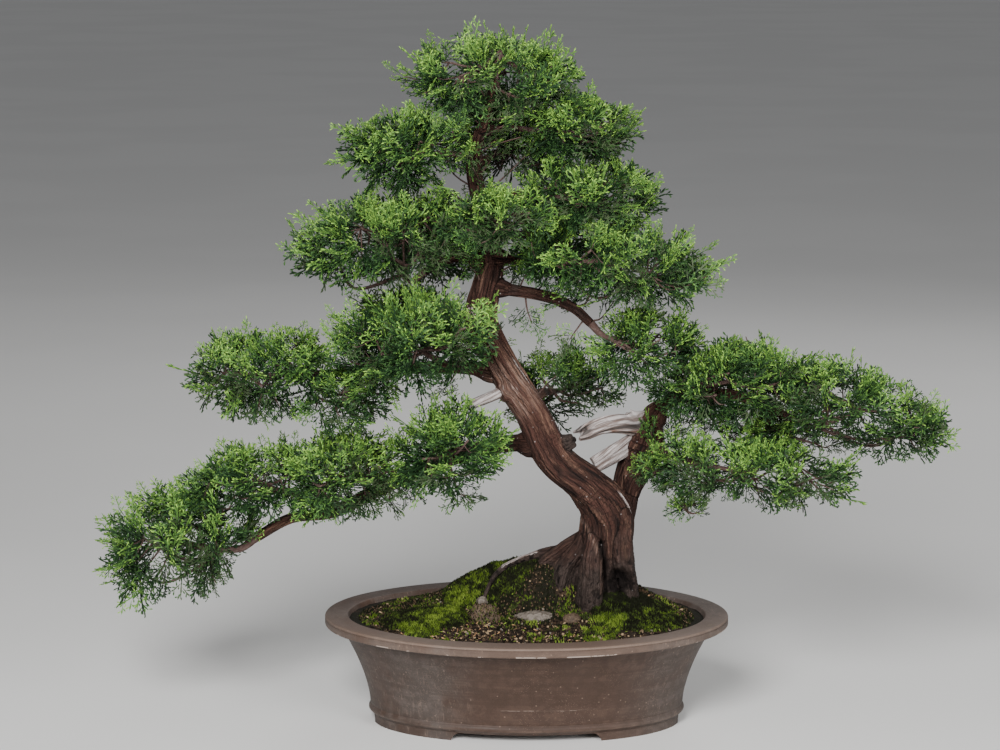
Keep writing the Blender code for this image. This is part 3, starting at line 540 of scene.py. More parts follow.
class Nodes:
    """The nodes of one material or shared group."""

    def __init__(self, tree):
        self.tree = tree

    def add(self, kind, settings=None, inputs=None):
        """Adds a node with its settings, and feeds its inputs with values or other nodes' outputs."""
        new = self.tree.nodes.new(kind)
        for name, value in (settings or {}).items():
            setattr(new, name, value)
        for key, value in (inputs or {}).items():
            if isinstance(value, bpy.types.NodeSocket):
                self.tree.links.new(value, new.inputs[key])
            else:
                new.inputs[key].default_value = value
        return new

    def calculate(self, operation, first, second=0.0):
        return self.add("ShaderNodeMath", {"operation": operation}, {0: first, 1: second}).outputs[0]

    def times(self, first, second):
        return self.calculate("MULTIPLY", first, second)

    def plus(self, first, second):
        return self.calculate("ADD", first, second)

    def larger(self, first, second):
        return self.calculate("MAXIMUM", first, second)

    def mix(self, share, first, second, blend="MIX"):
        settings = {"data_type": "RGBA", "blend_type": blend}
        return self.add("ShaderNodeMix", settings, {0: share, 6: first, 7: second}).outputs[2]

    def rise(self, value, low, high, new_low=0.0, new_high=1.0):
        """Maps low to new_low and high to new_high, smoothly and no further."""
        inputs = {0: value, 1: low, 2: high, 3: new_low, 4: new_high}
        return self.add("ShaderNodeMapRange", {"interpolation_type": "SMOOTHSTEP"}, inputs).outputs[0]

    def noise(self, vector, scale, detail=3.0, roughness=0.55, distortion=0.0):
        inputs = {"Vector": vector, "Scale": scale, "Detail": detail, "Roughness": roughness,
                  "Distortion": distortion}
        return self.add("ShaderNodeTexNoise", None, inputs).outputs[0]

    def cells(self, inputs):
        """Rounded cells, and a tone for each."""
        made = self.add("ShaderNodeTexVoronoi", None, inputs)
        return made, self.add("ShaderNodeSeparateColor", None, {0: made.outputs["Color"]}).outputs[0]

    def scaled(self, vector, scale):
        return self.add("ShaderNodeMapping", None, {"Vector": vector, "Scale": scale}).outputs[0]

    def parts(self, vector):
        return self.add("ShaderNodeSeparateXYZ", None, {0: vector}).outputs

    def drawn_out(self, vector, stretch):
        """Places shrunk along their third axis, which draws out what is seen there."""
        x, y, z = self.parts(vector)
        inputs = {0: x, 1: y, 2: self.calculate("DIVIDE", z, stretch)}
        return self.add("ShaderNodeCombineXYZ", None, inputs).outputs[0]

    def stored(self, name, output="Fac"):
        return self.add("ShaderNodeAttribute", {"attribute_name": name}).outputs[output]

    def place(self):
        return self.add("ShaderNodeTexCoord").outputs["Object"]

    def shared(self, name, *fed):
        """The outputs of a shared group, which is made when it is first asked for."""
        values, outputs, fill = GROUPS[name]
        sockets = ("Vector", *values)
        if name not in bpy.data.node_groups:
            group = bpy.data.node_groups.new(name, "ShaderNodeTree")
            for socket in sockets:
                kind = "NodeSocketVector" if socket == "Vector" else "NodeSocketFloat"
                made = group.interface.new_socket(socket, in_out="INPUT", socket_type=kind)
                if socket in values:
                    made.default_value = values[socket]
            for socket in outputs:
                group.interface.new_socket(socket, in_out="OUTPUT", socket_type="NodeSocketFloat")
            start, end = group.nodes.new("NodeGroupInput"), group.nodes.new("NodeGroupOutput")
            results = fill(Nodes(group), *[start.outputs[socket] for socket in sockets])
            for socket, result in zip(outputs, results):
                group.links.new(result, end.inputs[socket])
        group = bpy.data.node_groups[name]
        made = self.add("ShaderNodeGroup", {"node_tree": group}, dict(zip(sockets, fed)))
        return [made.outputs[socket] for socket in outputs]

    def specks(self, vector, fineness, amount):
        return self.shared("speckle", vector, fineness, amount)[0]


def fibre_grain(nodes, vector, fineness, stretch):
    """Long fibres that run along a limb: broad streaks, and fine hairs between them."""
    drawn_out = nodes.drawn_out(vector, stretch)
    fine = nodes.times(fineness, 3.3)
    return nodes.noise(drawn_out, fineness, 5.0, 0.6, 0.6), nodes.noise(drawn_out, fine, 3.0, 0.6, 0.3)


def bark_plates(nodes, vector, fineness, stretch):
    """Long plates with cracks between them: a tone for each plate, and how near its edge a place is."""
    wander = nodes.add("ShaderNodeTexNoise", None, {"Vector": vector, "Scale": 90.0, "Detail": 3.0})
    inputs = {0: wander.outputs["Color"], 1: (0.0045, 0.0045, 0.0005), 2: nodes.drawn_out(vector, stretch)}
    shift = nodes.add("ShaderNodeVectorMath", {"operation": "MULTIPLY_ADD"}, inputs).outputs[0]
    inputs = {"Vector": shift, "Scale": fineness}
    _, tone = nodes.cells(inputs)
    edges = nodes.add("ShaderNodeTexVoronoi", {"feature": "DISTANCE_TO_EDGE"}, inputs)
    return tone, edges.outputs["Distance"]


def speckle(nodes, vector, fineness, amount):
    """Small separate specks, a share of them shown, with soft edges."""
    cells, tone = nodes.cells({"Vector": vector, "Scale": fineness})
    chosen = nodes.calculate("LESS_THAN", tone, amount)
    return (nodes.times(chosen, nodes.rise(cells.outputs["Distance"], 0.42, 0.22)),)


# Shared groups: the values that go in with a vector, what comes out, and what fills the group
GROUPS = {
    "fibre grain": ({"Fineness": 300.0, "Stretch": 9.0}, ("Streaks", "Hairs"), fibre_grain),
    "bark plates": ({"Fineness": 150.0, "Stretch": 14.0}, ("Tone", "Edge"), bark_plates),
    "speckle": ({"Fineness": 800.0, "Amount": 0.2}, ("Mask",), speckle),
}


class Finish(Nodes):
    """A material and its Principled shader, evenly rough until something is linked."""

    def __init__(self, name, roughness, shine=0.5):
        self.material = bpy.data.materials.new(name)
        self.material.use_nodes = True
        super().__init__(self.material.node_tree)
        self.shader = self.tree.nodes["Principled BSDF"]
        self.shader.inputs["Roughness"].default_value = roughness
        self.shader.inputs["Specular IOR Level"].default_value = shine

    def link(self, socket, value):
        self.tree.links.new(value, self.shader.inputs[socket])

    def done(self, colour, height, distance, strength=1.0):
        """The material, with its colour and its bumps linked."""
        self.link("Base Color", colour)
        inputs = {"Height": height, "Distance": distance, "Strength": strength}
        self.link("Normal", self.add("ShaderNodeBump", None, inputs).outputs[0])
        return self.material


# Finishes


def bark_material(look, name="bark", fineness=260.0):
    """Reddish-brown bark in long cracked plates: tan crests, scaly foot, bleached lines, pale specks, painted
    light on raised bark and painted shade in its low parts.
    """
    bark = Finish(name, 0.85, LOW_SHINE)
    grain = bark.stored("grain", "Vector")
    relief, smooth, old = (bark.stored(key) for key in ("relief", "smooth", "old"))
    streaks, hairs = bark.shared("fibre grain", grain, fineness, 14.0)
    tone, edge = bark.shared("bark plates", grain, 170.0, 16.0)
    flakes, flake_edge = bark.shared("bark plates", grain, 420.0, 9.0)
    broad = bark.noise(bark.place(), 26.0, 2.0)
    light = bark.times(tone, 0.22)
    # The relief lightens raised bark and darkens low bark: partly its own tan crests, partly painted light
    # and shade
    for part, weight in ((streaks, 0.42), (relief, 0.28), (flakes, 0.10), (broad, 0.32), (smooth, 0.06)):
        light = bark.plus(light, bark.times(part, weight))
    colour = bark.mix(bark.rise(light, 0.42, 0.70), look.shade_colour, look.bark_colour)
    colour = bark.mix(bark.rise(light, 0.70, 0.98), colour, look.ridge_colour)
    scales, _ = bark.shared("bark plates", grain, 330.0, 2.6)
    rough = bark.noise(bark.place(), 210.0, 5.0, 0.72)
    flaked = bark.plus(bark.times(scales, 0.35), rough)
    scaly = bark.mix(bark.rise(flaked, 0.45, 1.05, 0.0, 0.42), look.foot_and_shade_colour, look.weathered_colour)
    colour = bark.mix(bark.times(old, 0.9), colour, scaly)
    # The stored tan: worn bark round the stub, and a painted highlight along the front root's crest
    tan = bark.times(bark.stored("tan"), bark.rise(streaks, 0.34, 0.60))
    worn = bark.mix(bark.rise(hairs, 0.38, 0.66, 0.0, 0.18), look.ridge_colour, look.deadwood_colour)
    colour = bark.mix(tan, colour, worn)
    crack_and_shade = bark.rise(edge, 0.10, 0.02, 0.0, 0.62)
    crack_and_shade = bark.larger(crack_and_shade, bark.rise(flake_edge, 0.09, 0.0, 0.0, 0.45))
    calm = bark.larger(bark.times(old, 0.8), smooth)
    crack_and_shade = bark.times(crack_and_shade, bark.calculate("SUBTRACT", 1.0, calm))
    # Painted shade in the low parts of the relief, added to the cracks
    crack_and_shade = bark.larger(crack_and_shade, bark.rise(relief, 0.32, 0.06, 0.0, 0.90))
    colour = bark.mix(crack_and_shade, colour, look.furrow_and_shade_colour)
    bleached = bark.mix(bark.rise(hairs, 0.35, 0.65), look.ridge_colour, look.deadwood_colour)
    bare = bark.plus(bark.stored("pale"), bark.times(streaks, 0.5))
    colour = bark.mix(bark.rise(bare, 0.66, 0.86), colour, bleached)
    specks = bark.specks(bark.place(), 420.0, 0.014)
    colour = bark.mix(bark.times(specks, 0.40), colour, look.deadwood_colour)
    height = bark.plus(streaks, bark.times(hairs, 0.4))
    height = bark.plus(height, bark.rise(edge, 0.0, 0.22, 0.0, 1.3))
    height = bark.plus(height, bark.rise(flake_edge, 0.0, 0.20, 0.0, 0.5))
    height = bark.plus(height, bark.times(bark.times(rough, old), 3.0))
    return bark.done(colour, height, 0.0016)


def deadwood_material(look):
    """Bleached wood: silver-grey fibres, darker checks between them, a brown stain, and painted shade in the
    grooves and the hollow.
    """
    wood = Finish("deadwood", 0.72)
    streaks, hairs = wood.shared("fibre grain", wood.stored("grain", "Vector"), 420.0, 16.0)
    colour = wood.mix(wood.rise(streaks, 0.38, 0.62), look.weathered_colour, look.deadwood_colour)
    cloudy = wood.rise(wood.noise(wood.place(), 55.0, 2.0), 0.55, 0.70, 0.0, 0.28)
    colour = wood.mix(wood.larger(cloudy, wood.stored("stain")), colour, look.ridge_colour)
    colour = wood.mix(wood.rise(hairs, 0.44, 0.33, 0.0, 0.50), colour, look.foot_and_shade_colour)
    # Painted shade: the low parts of the relief, in the grooves and the hollow, darkened
    colour = wood.mix(wood.rise(wood.stored("relief"), 0.34, 0.04, 0.0, 0.9), colour, look.foot_and_shade_colour)
    return wood.done(colour, wood.plus(streaks, hairs), 0.0012, 0.9)


def twig_material(look):
    """Thin twigs: brown bark mottled with greyer scales."""
    twig = Finish("twig bark", 0.8)
    mottled = twig.noise(twig.place(), 260.0)
    share = twig.rise(mottled, 0.40, 0.66, 0.08, 0.50)
    return twig.done(twig.mix(share, look.bark_colour, look.weathered_colour), mottled, 0.0006, 0.6)


def plain_material(name, colour, roughness):
    """A plain colour, for leaves and grains that are dealt one each."""
    plain = Finish(name, roughness, FAINT_SHINE)
    plain.shader.inputs["Base Color"].default_value = colour
    return plain.material


def clay_material(look):
    """Unglazed brown-grey clay: cloudy, hazed by lime, pricked with pale specks, chipped on its edges, with a
    painted highlight along the front of the lip.
    """
    clay = Finish("stoneware", 0.6, 0.3)
    place = clay.place()
    clouds = clay.noise(place, 16.0, 4.0, 0.6, 0.4)
    fine = clay.noise(place, 420.0, 3.0, 0.6)
    mottled = clay.noise(place, 90.0, 5.0, 0.62)
    wiped = clay.noise(clay.scaled(place, (5.0, 5.0, 160.0)), 1.0, 4.0, 0.6, 0.3)
    haze = clay.stored("haze")
    hazy = clay.times(haze, clay.rise(clouds, 0.32, 0.60))
    colour = clay.mix(hazy, look.clay_colour, look.haze_colour)
    darker = clay.mix(1.0, colour, (0.66, 0.64, 0.62, 1.0), "MULTIPLY")
    colour = clay.mix(clay.rise(mottled, 0.60, 0.42, 0.0, 0.7), colour, darker)
    colour = clay.mix(clay.rise(wiped, 0.56, 0.42, 0.0, 0.6), colour, darker)
    grit = clay.times(clay.specks(place, 900.0, 0.20), clay.rise(clouds, 0.40, 0.62))
    spots = clay.specks(place, 380.0, 0.022)
    runs = clay.noise(clay.scaled(place, (330.0, 330.0, 90.0)), 1.0, 5.0, 0.7, 0.6)
    runs = clay.times(haze, clay.rise(runs, 0.54, 0.68, 0.0, 0.26))
    chips = clay.noise(place, 15.0, 6.0, 0.72)
    wear = clay.stored("wear")
    rubbed = clay.times(wear, clay.rise(chips, 0.40, 0.62, 0.05, 0.40))
    # The stored lip share is a painted highlight on the lip; grit, spots, runs and rubbed edges are wear
    for share in (clay.times(grit, 0.34), clay.times(spots, 0.45), clay.stored("lip"), runs, rubbed):
        colour = clay.mix(share, colour, look.worn_and_highlight_colour)
    edge = clay.times(wear, clay.rise(chips, 0.46, 0.56))
    colour = clay.mix(clay.rise(edge, 0.55, 0.70, 0.0, 0.85), colour, look.chip_colour)
    colour = clay.mix(scratch_on(clay, place), colour, look.chip_colour)
    clay.link("Roughness", clay.rise(clouds, 0.35, 0.65, 0.52, 0.72))
    return clay.done(colour, clay.plus(fine, clay.times(mottled, 1.5)), 0.0005, 0.5)


def scratch_on(clay, place):
    """A faint broken scratch along the front of the wall."""
    x, y, z = clay.parts(place)
    wander = clay.times(clay.noise(clay.scaled(place, (30.0, 0.0, 0.0)), 1.0), 0.004)
    above = clay.calculate("SUBTRACT", clay.plus(z, wander), SCRATCH_Z + 0.002)
    line = clay.rise(clay.calculate("ABSOLUTE", above), 0.0006, 0.0002)
    x = clay.calculate("SUBTRACT", x, float(PLACE[0]))
    for end in (SCRATCH_FROM, SCRATCH_TO):
        line = clay.times(line, clay.rise(x, *end))
    broken = clay.rise(clay.noise(place, 110.0), 0.45, 0.60, 0.04, 0.34)
    front = clay.rise(y, float(PLACE[1]), float(PLACE[1]) - 0.02)
    return clay.times(clay.times(line, broken), front)


def soil_material(look):
    """Dark damp grains, with tan crumbs among them."""
    soil = Finish("soil", 0.9, LOW_SHINE)
    place = soil.place()
    crumbs = soil.noise(place, 300.0, 5.0, 0.7)
    dark = soil.mix(soil.rise(crumbs, 0.40, 0.68), look.soil_colour, look.crumb_colour)
    grains = soil.times(soil.specks(place, 380.0, 0.10), 0.5)
    colour = soil.mix(grains, dark, look.granule_colour)
    greened = soil.times(soil.stored("mossy"), soil.rise(crumbs, 0.35, 0.55))
    return soil.done(soil.mix(greened, colour, look.moss_dark_colour), crumbs, 0.0015, 0.9)


def moss_material(look, dark_first):
    """The body of a moss cushion under its tufts."""
    moss = Finish("moss body", 0.95, FAINT_SHINE)
    clumps = moss.noise(moss.place(), 70.0, 5.0, 0.7)
    low, high = (0.45, 0.75) if dark_first else (0.30, 0.60)
    colour = moss.mix(moss.rise(clumps, low, high), look.moss_dark_colour, look.moss_bright_colour)
    return moss.done(colour, moss.noise(moss.place(), 700.0), 0.0012, 0.9)


def stone_material(name, colour, look):
    """Worn stone: veined and pitted, its hollows holding soil."""
    stone = Finish(name, 0.75)
    place = stone.place()
    veins = stone.noise(place, 120.0, 6.0, 0.65, 1.2)
    pits = stone.noise(place, 420.0)
    shaded = stone.mix(1.0, colour, (0.45, 0.42, 0.38, 1.0), "MULTIPLY")
    mixed = stone.mix(stone.rise(veins, 0.38, 0.60), shaded, colour)
    mixed = stone.mix(stone.rise(pits, 0.38, 0.28, 0.0, 0.8), mixed, look.soil_colour)
    return stone.done(mixed, stone.plus(veins, pits), 0.0009, 0.8)


def floor_material(look):
    """A matt pale floor with a very faint unevenness."""
    floor = Finish("floor", 0.8)
    cloudy = floor.noise(floor.place(), 1.2, 2.0)
    shade = floor.mix(1.0, look.floor_colour, (0.97, 0.97, 0.97, 1.0), "MULTIPLY")
    floor.link("Base Color", floor.mix(floor.rise(cloudy, 0.40, 0.60), shade, look.floor_colour))
    return floor.material


# Wood

BARK_TWIST = 2.6
BARK_STRETCH = 10.0
RIDGE_SPACING = 0.0066
STRIP_SPACING = 0.0036
SHRED_SPACING = 0.0018
LOBE_HEIGHT = 0.10
THIN_LIMB_RELIEF = 0.13
FOOT_LUMPY = 0.80
FOOT_LUMPY_FROM = (0.225, 0.170)
FOOT_OLD_FROM = (0.225, 0.160)
SMOOTH_BARK = 0.66
SMOOTH_FROM = (0.300, 0.345)
SMOOTH_TO = (0.475, 0.435)
WOOD_VOXEL = 0.00135
BOUGH_VOXEL = 0.0013
DEADWOOD_VOXEL = 0.0008
SURFACE_ROOT_SHOWS = 0.66
SURFACE_ROOT_RAISED = 0.002
COLLAR_SWELL = 1.55
COLLAR_LENGTH = 0.016

# Bleached lines on the trunk: angle round it, half width in radians, and for each stretch of them
# the lowest and highest place and how bleached it is
SHARI_ANGLE = -1.83
SHARI_HALF_WIDTH = 0.11
SHARI_STRETCHES = ((0.318, 0.425, 1.0), (0.210, 0.278, 0.58))
STUB_ROOT = (-0.018, -0.029, 0.379)
STUB_SWIRL = (0.010, 0.017)
WORN_PATCH = ((-0.062, -0.016, 0.462), 0.012)
STUB_TAN = (0.044, 0.018)
STUB_COLLAR = (((-0.014, -0.016, 0.381), (-0.029, -0.0235, 0.3745)), (0.0150, 0.0100))
KNOT_DARK = 0.015
# Seen from the front, in x and z: the deep groove beside the front root and the hollow under the right
# lobe, both with painted shade, and the painted tan highlight along the front root's crest, each with its
# half width
GROOVE = (((0.0825, 0.205), (0.0860, 0.176), (0.0885, 0.146)), 0.0042, 0.0120)
UNDER_LOBE = ((0.1020, 0.155), (0.0140, 0.0200), 0.0190)
CREST_HIGHLIGHT = (((0.0510, 0.2355), (0.0644, 0.2248), (0.0767, 0.2034), (0.0835, 0.1856),
              (0.0830, 0.1500)), 0.0026)
ROOT_GREY = 0.56
ROOT_GREY_FROM = (-0.036, -0.026)
ROOT_GREY_TO = (0.020, 0.010)


def limb_mesh(limb, name="limb"):
    """A limb as a round curve with its own thickness, made a mesh with closed ends."""
    deselect_all()
    bpy.ops.curve.primitive_nurbs_path_add(radius=1.0)
    thing = bpy.context.object
    curve = thing.data
    curve.splines.clear()
    spline = curve.splines.new("POLY")
    spline.points.add(len(limb.centres) - 1)
    corners = np.column_stack((limb.centres, np.ones(len(limb.centres))))
    spline.points.foreach_set("co", corners.ravel())
    spline.points.foreach_set("radius", limb.radii)
    curve.dimensions = "3D"
    curve.fill_mode = "FULL"
    curve.bevel_depth = 1.0
    curve.bevel_resolution = LIMB_CURVE_SIDES
    curve.use_fill_caps = True
    bpy.ops.object.convert(target="MESH")
    thing = bpy.context.object
    thing.name = name
    return thing


def fused(things, name, voxel, rounds):
    """One closed skin round several overlapping limbs, its joints smoothed over."""
    wood = join(things, name)
    apply_modifier(wood, "REMESH", mode="VOXEL", voxel_size=voxel, use_smooth_shade=True)
    apply_modifier(wood, "SMOOTH", factor=0.5, iterations=rounds)
    return wood


def straightened(found, twist=BARK_TWIST):
    """Places on a limb's skin as if the limb were straight, so that grain can run along it."""
    turn = found["turn"] + twist * found["along"]
    across = found["radius"] * np.cos(turn)
    over = found["radius"] * np.sin(turn)
    return np.column_stack((across, over, found["along"] + found["number"] * 0.37))


def bark_height(place):
    """Bark from 0 in its furrows to 1: ridges that part and join again, with flaking strips on them."""
    drawn = place / (1.0, 1.0, BARK_STRETCH)
    ridges = 1 - 2.0 * np.abs(noise_at(drawn / RIDGE_SPACING))
    strips = between(noise_at(drawn / STRIP_SPACING + 7.3), -0.10, 0.14)
    shreds = noise_at(place / (1.0, 1.0, BARK_STRETCH * 1.6) / SHRED_SPACING + 3.1)
    return np.clip(0.13 + 0.50 * ridges + 0.34 * strips + 0.16 * shreds, 0.0, 1.0)


def dress_in_bark(wood, limbs, relief):
    """Raises the bark on fused limbs, and stores what its material reads."""
    points = points_of(wood.data)
    found = nearest_limb(points, limbs)
    place = straightened(found)
    height = bark_height(place)
    foot = FOOT_LUMPY * between(points[:, 2], *FOOT_LUMPY_FROM)
    lumpy = np.clip(0.5 + 1.1 * noise_at(points * 130) + 0.6 * noise_at(points * 380), 0.0, 1.0)
    height += (lumpy - height) * foot
    smooth = SMOOTH_BARK * between(points[:, 2], *SMOOTH_FROM) * between(points[:, 2], *SMOOTH_TO)
    height += (0.62 + 0.12 * noise_at(points * 70) - height) * smooth
    turn = found["turn"] + 8.0 * found["along"]
    lobes = LOBE_HEIGHT * (np.cos(3 * turn) + 0.7 * np.cos(5 * turn - 19.0 * found["along"]))
    depth = np.minimum(relief, found["radius"] * THIN_LIMB_RELIEF)
    rise = (height - 0.55) * depth + np.clip(lobes, -0.15, 0.12) * np.minimum(found["radius"], 0.022)
    set_points(wood.data, points + normals_of(wood.data) * rise[:, None])
    keep_values(wood.data, "grain", place)
    keep_values(wood.data, "relief", height)
    keep_values(wood.data, "smooth", smooth)
    return points, found


def bleached_parts(points, found):
    """How bleached the trunk is at each point: the lines down its right side, and round the stub."""
    rough = 0.12 * noise_at(points * 140)
    on_trunk = found["number"] == 0
    gap = np.abs((found["turn"] - SHARI_ANGLE + math.pi) % (2 * math.pi) - math.pi)
    line = between(gap / SHARI_HALF_WIDTH, 1.3, 0.5)
    stretch = np.zeros(len(points))
    for low, high, strength in SHARI_STRETCHES:
        inside = between(points[:, 2], low, low + 0.02) * between(points[:, 2], high, high - 0.02)
        stretch = np.maximum(stretch, inside * strength)
    pale = line * stretch * on_trunk
    from_stub = np.linalg.norm(points - STUB_ROOT, axis=1)
    pale = np.maximum(pale, 0.42 * between(from_stub, STUB_SWIRL[1], STUB_SWIRL[0]))
    middle, radius = WORN_PATCH
    pale = np.maximum(pale, 0.55 * between(np.linalg.norm(points - middle, axis=1), radius, radius / 2))
    return np.clip(pale + rough * (pale > 0.05), 0.0, 1.0)


def line_gap(points, line, seen=(0, 2)):
    """How far points are from a line of corners, both seen from the front, or along another axis."""
    flat = points[:, seen]
    gap = np.full(len(points), np.inf)
    for start, end in zip(np.array(line), np.array(line)[1:]):
        way = end - start
        t = np.clip((flat - start) @ way / (way @ way), 0.0, 1.0)
        gap = np.minimum(gap, np.linalg.norm(flat - start - t[:, None] * way, axis=1))
    return gap


def facing_front(mesh):
    return np.clip(-2.0 * normals_of(mesh)[:, 1], 0.0, 1.0)


def tan_and_highlight_parts(mesh):
    """Where the bark is tan: worn to tan round the stub, and a painted tan highlight along the crest of the
    front root.
    """
    points = points_of(mesh)
    from_stub = np.linalg.norm(points - STUB_ROOT, axis=1)
    line, half_width = CREST_HIGHLIGHT
    # Painted highlight along the crest, only where the root faces the front
    crest = bell(line_gap(points, line), half_width) * facing_front(mesh)
    return np.maximum(0.9 * between(from_stub, *STUB_TAN), crest)


def press_foot(mesh):
    """Presses the groove and the hollow into the front of the trunk's foot, and paints shade in them."""
    points = points_of(mesh)
    line, half_width, depth = GROOVE
    groove = bell(line_gap(points, line), half_width)
    middle, size, deeper = UNDER_LOBE
    share = (points[:, (0, 2)] - middle) / size
    hollow = bell((share**2).sum(axis=1))
    front = facing_front(mesh)
    points[:, 1] += np.maximum(groove * depth, hollow * deeper) * front
    set_points(mesh, points)
    # Painted shade: lower relief in the groove and the hollow, which the bark darkens
    relief = np.zeros(len(points), np.float32)
    mesh.attributes["relief"].data.foreach_get("value", relief)
    keep_values(mesh, "relief", relief * (1 - np.maximum(groove, hollow) * front))


def collar(name):
    """The swelling of the trunk round the root of a bough."""
    parent = CARRIERS[BOUGHS[name][0]]
    limb = BOUGH_LIMBS[name]
    outside = np.maximum(parent.clearance(limb.centres), 0.0)
    last = max(3, int(np.searchsorted(outside, COLLAR_LENGTH)))
    rows = np.column_stack((limb.centres[:last], limb.radii[:last]))
    swell = np.interp(outside[:last], (0.0, COLLAR_LENGTH), (COLLAR_SWELL, 0.80))
    rows[:, 3] *= swell
    return Limb(rows)


def make_trunk(look):
    """The trunk with its root flare, the second trunk and the surface root, fused in one skin."""
    roots = [tapered(root[:-2], root[-2:]) for root in ROOTS]
    collars = [collar(name) for name, row in BOUGHS.items() if row[0] in ("trunk", "second_trunk")]
    raised = CREEPING_ROOT.centres + (0, 0, SURFACE_ROOT_RAISED)
    creeping = Limb(np.column_stack((raised, CREEPING_ROOT.radii * SURFACE_ROOT_SHOWS)))
    limbs = [TRUNK] + roots + [SECOND, creeping, tapered(*KNOT)]
    limbs += collars + [tapered(*swell) for swell in FORK_SWELLS]
    meshes = [limb_mesh(limb) for limb in limbs + [tapered(*STUB_COLLAR)]]
    trunk = fused(meshes, "bonsai_trunk", WOOD_VOXEL, 4)
    points, found = dress_in_bark(trunk, limbs, look.bark_relief)
    pale = bleached_parts(points, found)
    on_creeping = (found["number"] == limbs.index(creeping)) & (normals_of(trunk.data)[:, 2] > 0.1)
    grey = ROOT_GREY * between(points[:, 0], *ROOT_GREY_FROM) * between(points[:, 0], *ROOT_GREY_TO)
    pale = np.where(on_creeping, grey, pale)
    keep_values(trunk.data, "pale", pale)
    knot = between(np.linalg.norm(points - KNOT[0][1], axis=1), KNOT_DARK * 1.3, KNOT_DARK * 0.8)
    foot = between(points[:, 2] + 0.02 * noise_at(points * 60), *FOOT_OLD_FROM)
    keep_values(trunk.data, "old", np.maximum(foot, knot))
    keep_values(trunk.data, "tan", tan_and_highlight_parts(trunk.data))
    press_foot(trunk.data)
    to_mode("EDIT")
    bpy.ops.mesh.select_all(action="SELECT")
    bpy.ops.mesh.bisect(plane_co=(0, 0, GROUND_Z), plane_no=(0, 0, 1), use_fill=True, clear_inner=True)
    to_mode("OBJECT")
    settle(trunk, ("trunk", "second_trunk", "surface_root"), bark_material(look))


def make_boughs(look):
    """All the boughs in one skin, from inside the trunks to where their masses begin."""
    names = list(BOUGH_LIMBS)
    limbs = [BOUGH_LIMBS[name] for name in names]
    boughs = fused([limb_mesh(limb) for limb in limbs], "bonsai_boughs", BOUGH_VOXEL, 3)
    points, _ = dress_in_bark(boughs, limbs, look.bark_relief)
    for mark in ("pale", "tan"):
        keep_values(boughs.data, mark, np.zeros(len(points)))
    keep_values(boughs.data, "old", between(noise_at(points * 45), 0.0, 0.5))
    material = bark_material(look, "bough bark", 300.0)
    settle(boughs, ["bough_" + name for name in names], material)


# Deadwood: way, half thickness at both ends, flatness, number of fibres, how far they part at the tip,
# how thick each is, and how deep the grooves are between them. A stub with no fibres is a round stick,
# or a board where its flatness is under one
DEADWOOD = {
    "jin_stub": (((-0.014, -0.014, 0.381), (-0.040, -0.026, 0.3715), (-0.065, -0.034, 0.3625)),
                 (0.0064, 0.0056), 1.0, 0, 0.0, 0.0, 0.0004),
    "jin_upper": (((0.130, 0.052, 0.322), (0.104, 0.036, 0.330), (0.079, 0.026, 0.329),
                   (0.050, 0.016, 0.318)), (0.0092, 0.0080), 0.78, 6, 0.14, 0.74, 0.0015),
    "jin_lower": (((0.1190, 0.048, 0.3060), (0.0980, 0.034, 0.2965), (0.0750, 0.023, 0.2855)),
                  (0.0112, 0.0098), 0.50, 0, 0.0, 0.0, 0.0007),
}
JIN_BLOCK = (((0.136, 0.050, 0.333), (0.122, 0.043, 0.336), (0.1095, 0.038, 0.3445)), (0.0084, 0.0060))
FIBRE_ENDS = (0.86, 1.0)
# The groove depth that gets the full painted shade
GROOVE_SHADE_DEPTH = 0.0017
# The orange-brown streak along the upper jin's underside, seen from the front in x and z
JIN_STAIN = (((0.132, 0.322), (0.112, 0.3205), (0.096, 0.3235)), 0.0028)
# The hollow near the upper jin's broken end, darkened with painted shade: its middle, radius and depth
JIN_HOLLOW = ((0.064, 0.012, 0.3275), 0.0050, 0.0060)


def fibres_of(limb, flatness, count, parting, share, chance):
    """Fibres laid round a stub's middle, each ending at its own length, parting towards the tip."""
    last = len(limb.centres)
    middle = int(last * FIBRE_ENDS[0])
    rows = np.column_stack((limb.centres[:middle], limb.radii[:middle] * 0.72 * flatness**0.5))
    fibres = [Limb(rows)]
    for i in range(count):
        angle = 2 * math.pi * (i + chance.uniform(-0.2, 0.2)) / count
        ends = int(last * chance.uniform(*FIBRE_ENDS))
        far = np.linspace(0.0, 1.0, last)[:ends, None]
        spread = (0.62 + parting * far**5) * limb.radii[:ends, None]
        wide = limb.over[:ends] * math.cos(angle) * spread
        thin = limb.across[:ends] * math.sin(angle) * spread * flatness
        thickness = limb.radii[:ends] * share * np.linspace(1.0, 0.72, ends)
        thickness[-3:] *= (0.85, 0.62, 0.35)
        fibres.append(Limb(np.column_stack((limb.centres[:ends] + wide + thin, thickness))))
    return fibres


def plank_of(limb, flatness):
    """A round stick, or a flat board of three limbs side by side."""
    half = limb.radii[:, None] * flatness
    shifts = (-1, 0, 1) if flatness < 1 else (0,)
    aside = limb.over * (limb.radii[:, None] - half)
    return [Limb(np.hstack((limb.centres + aside * k, half))) for k in shifts]


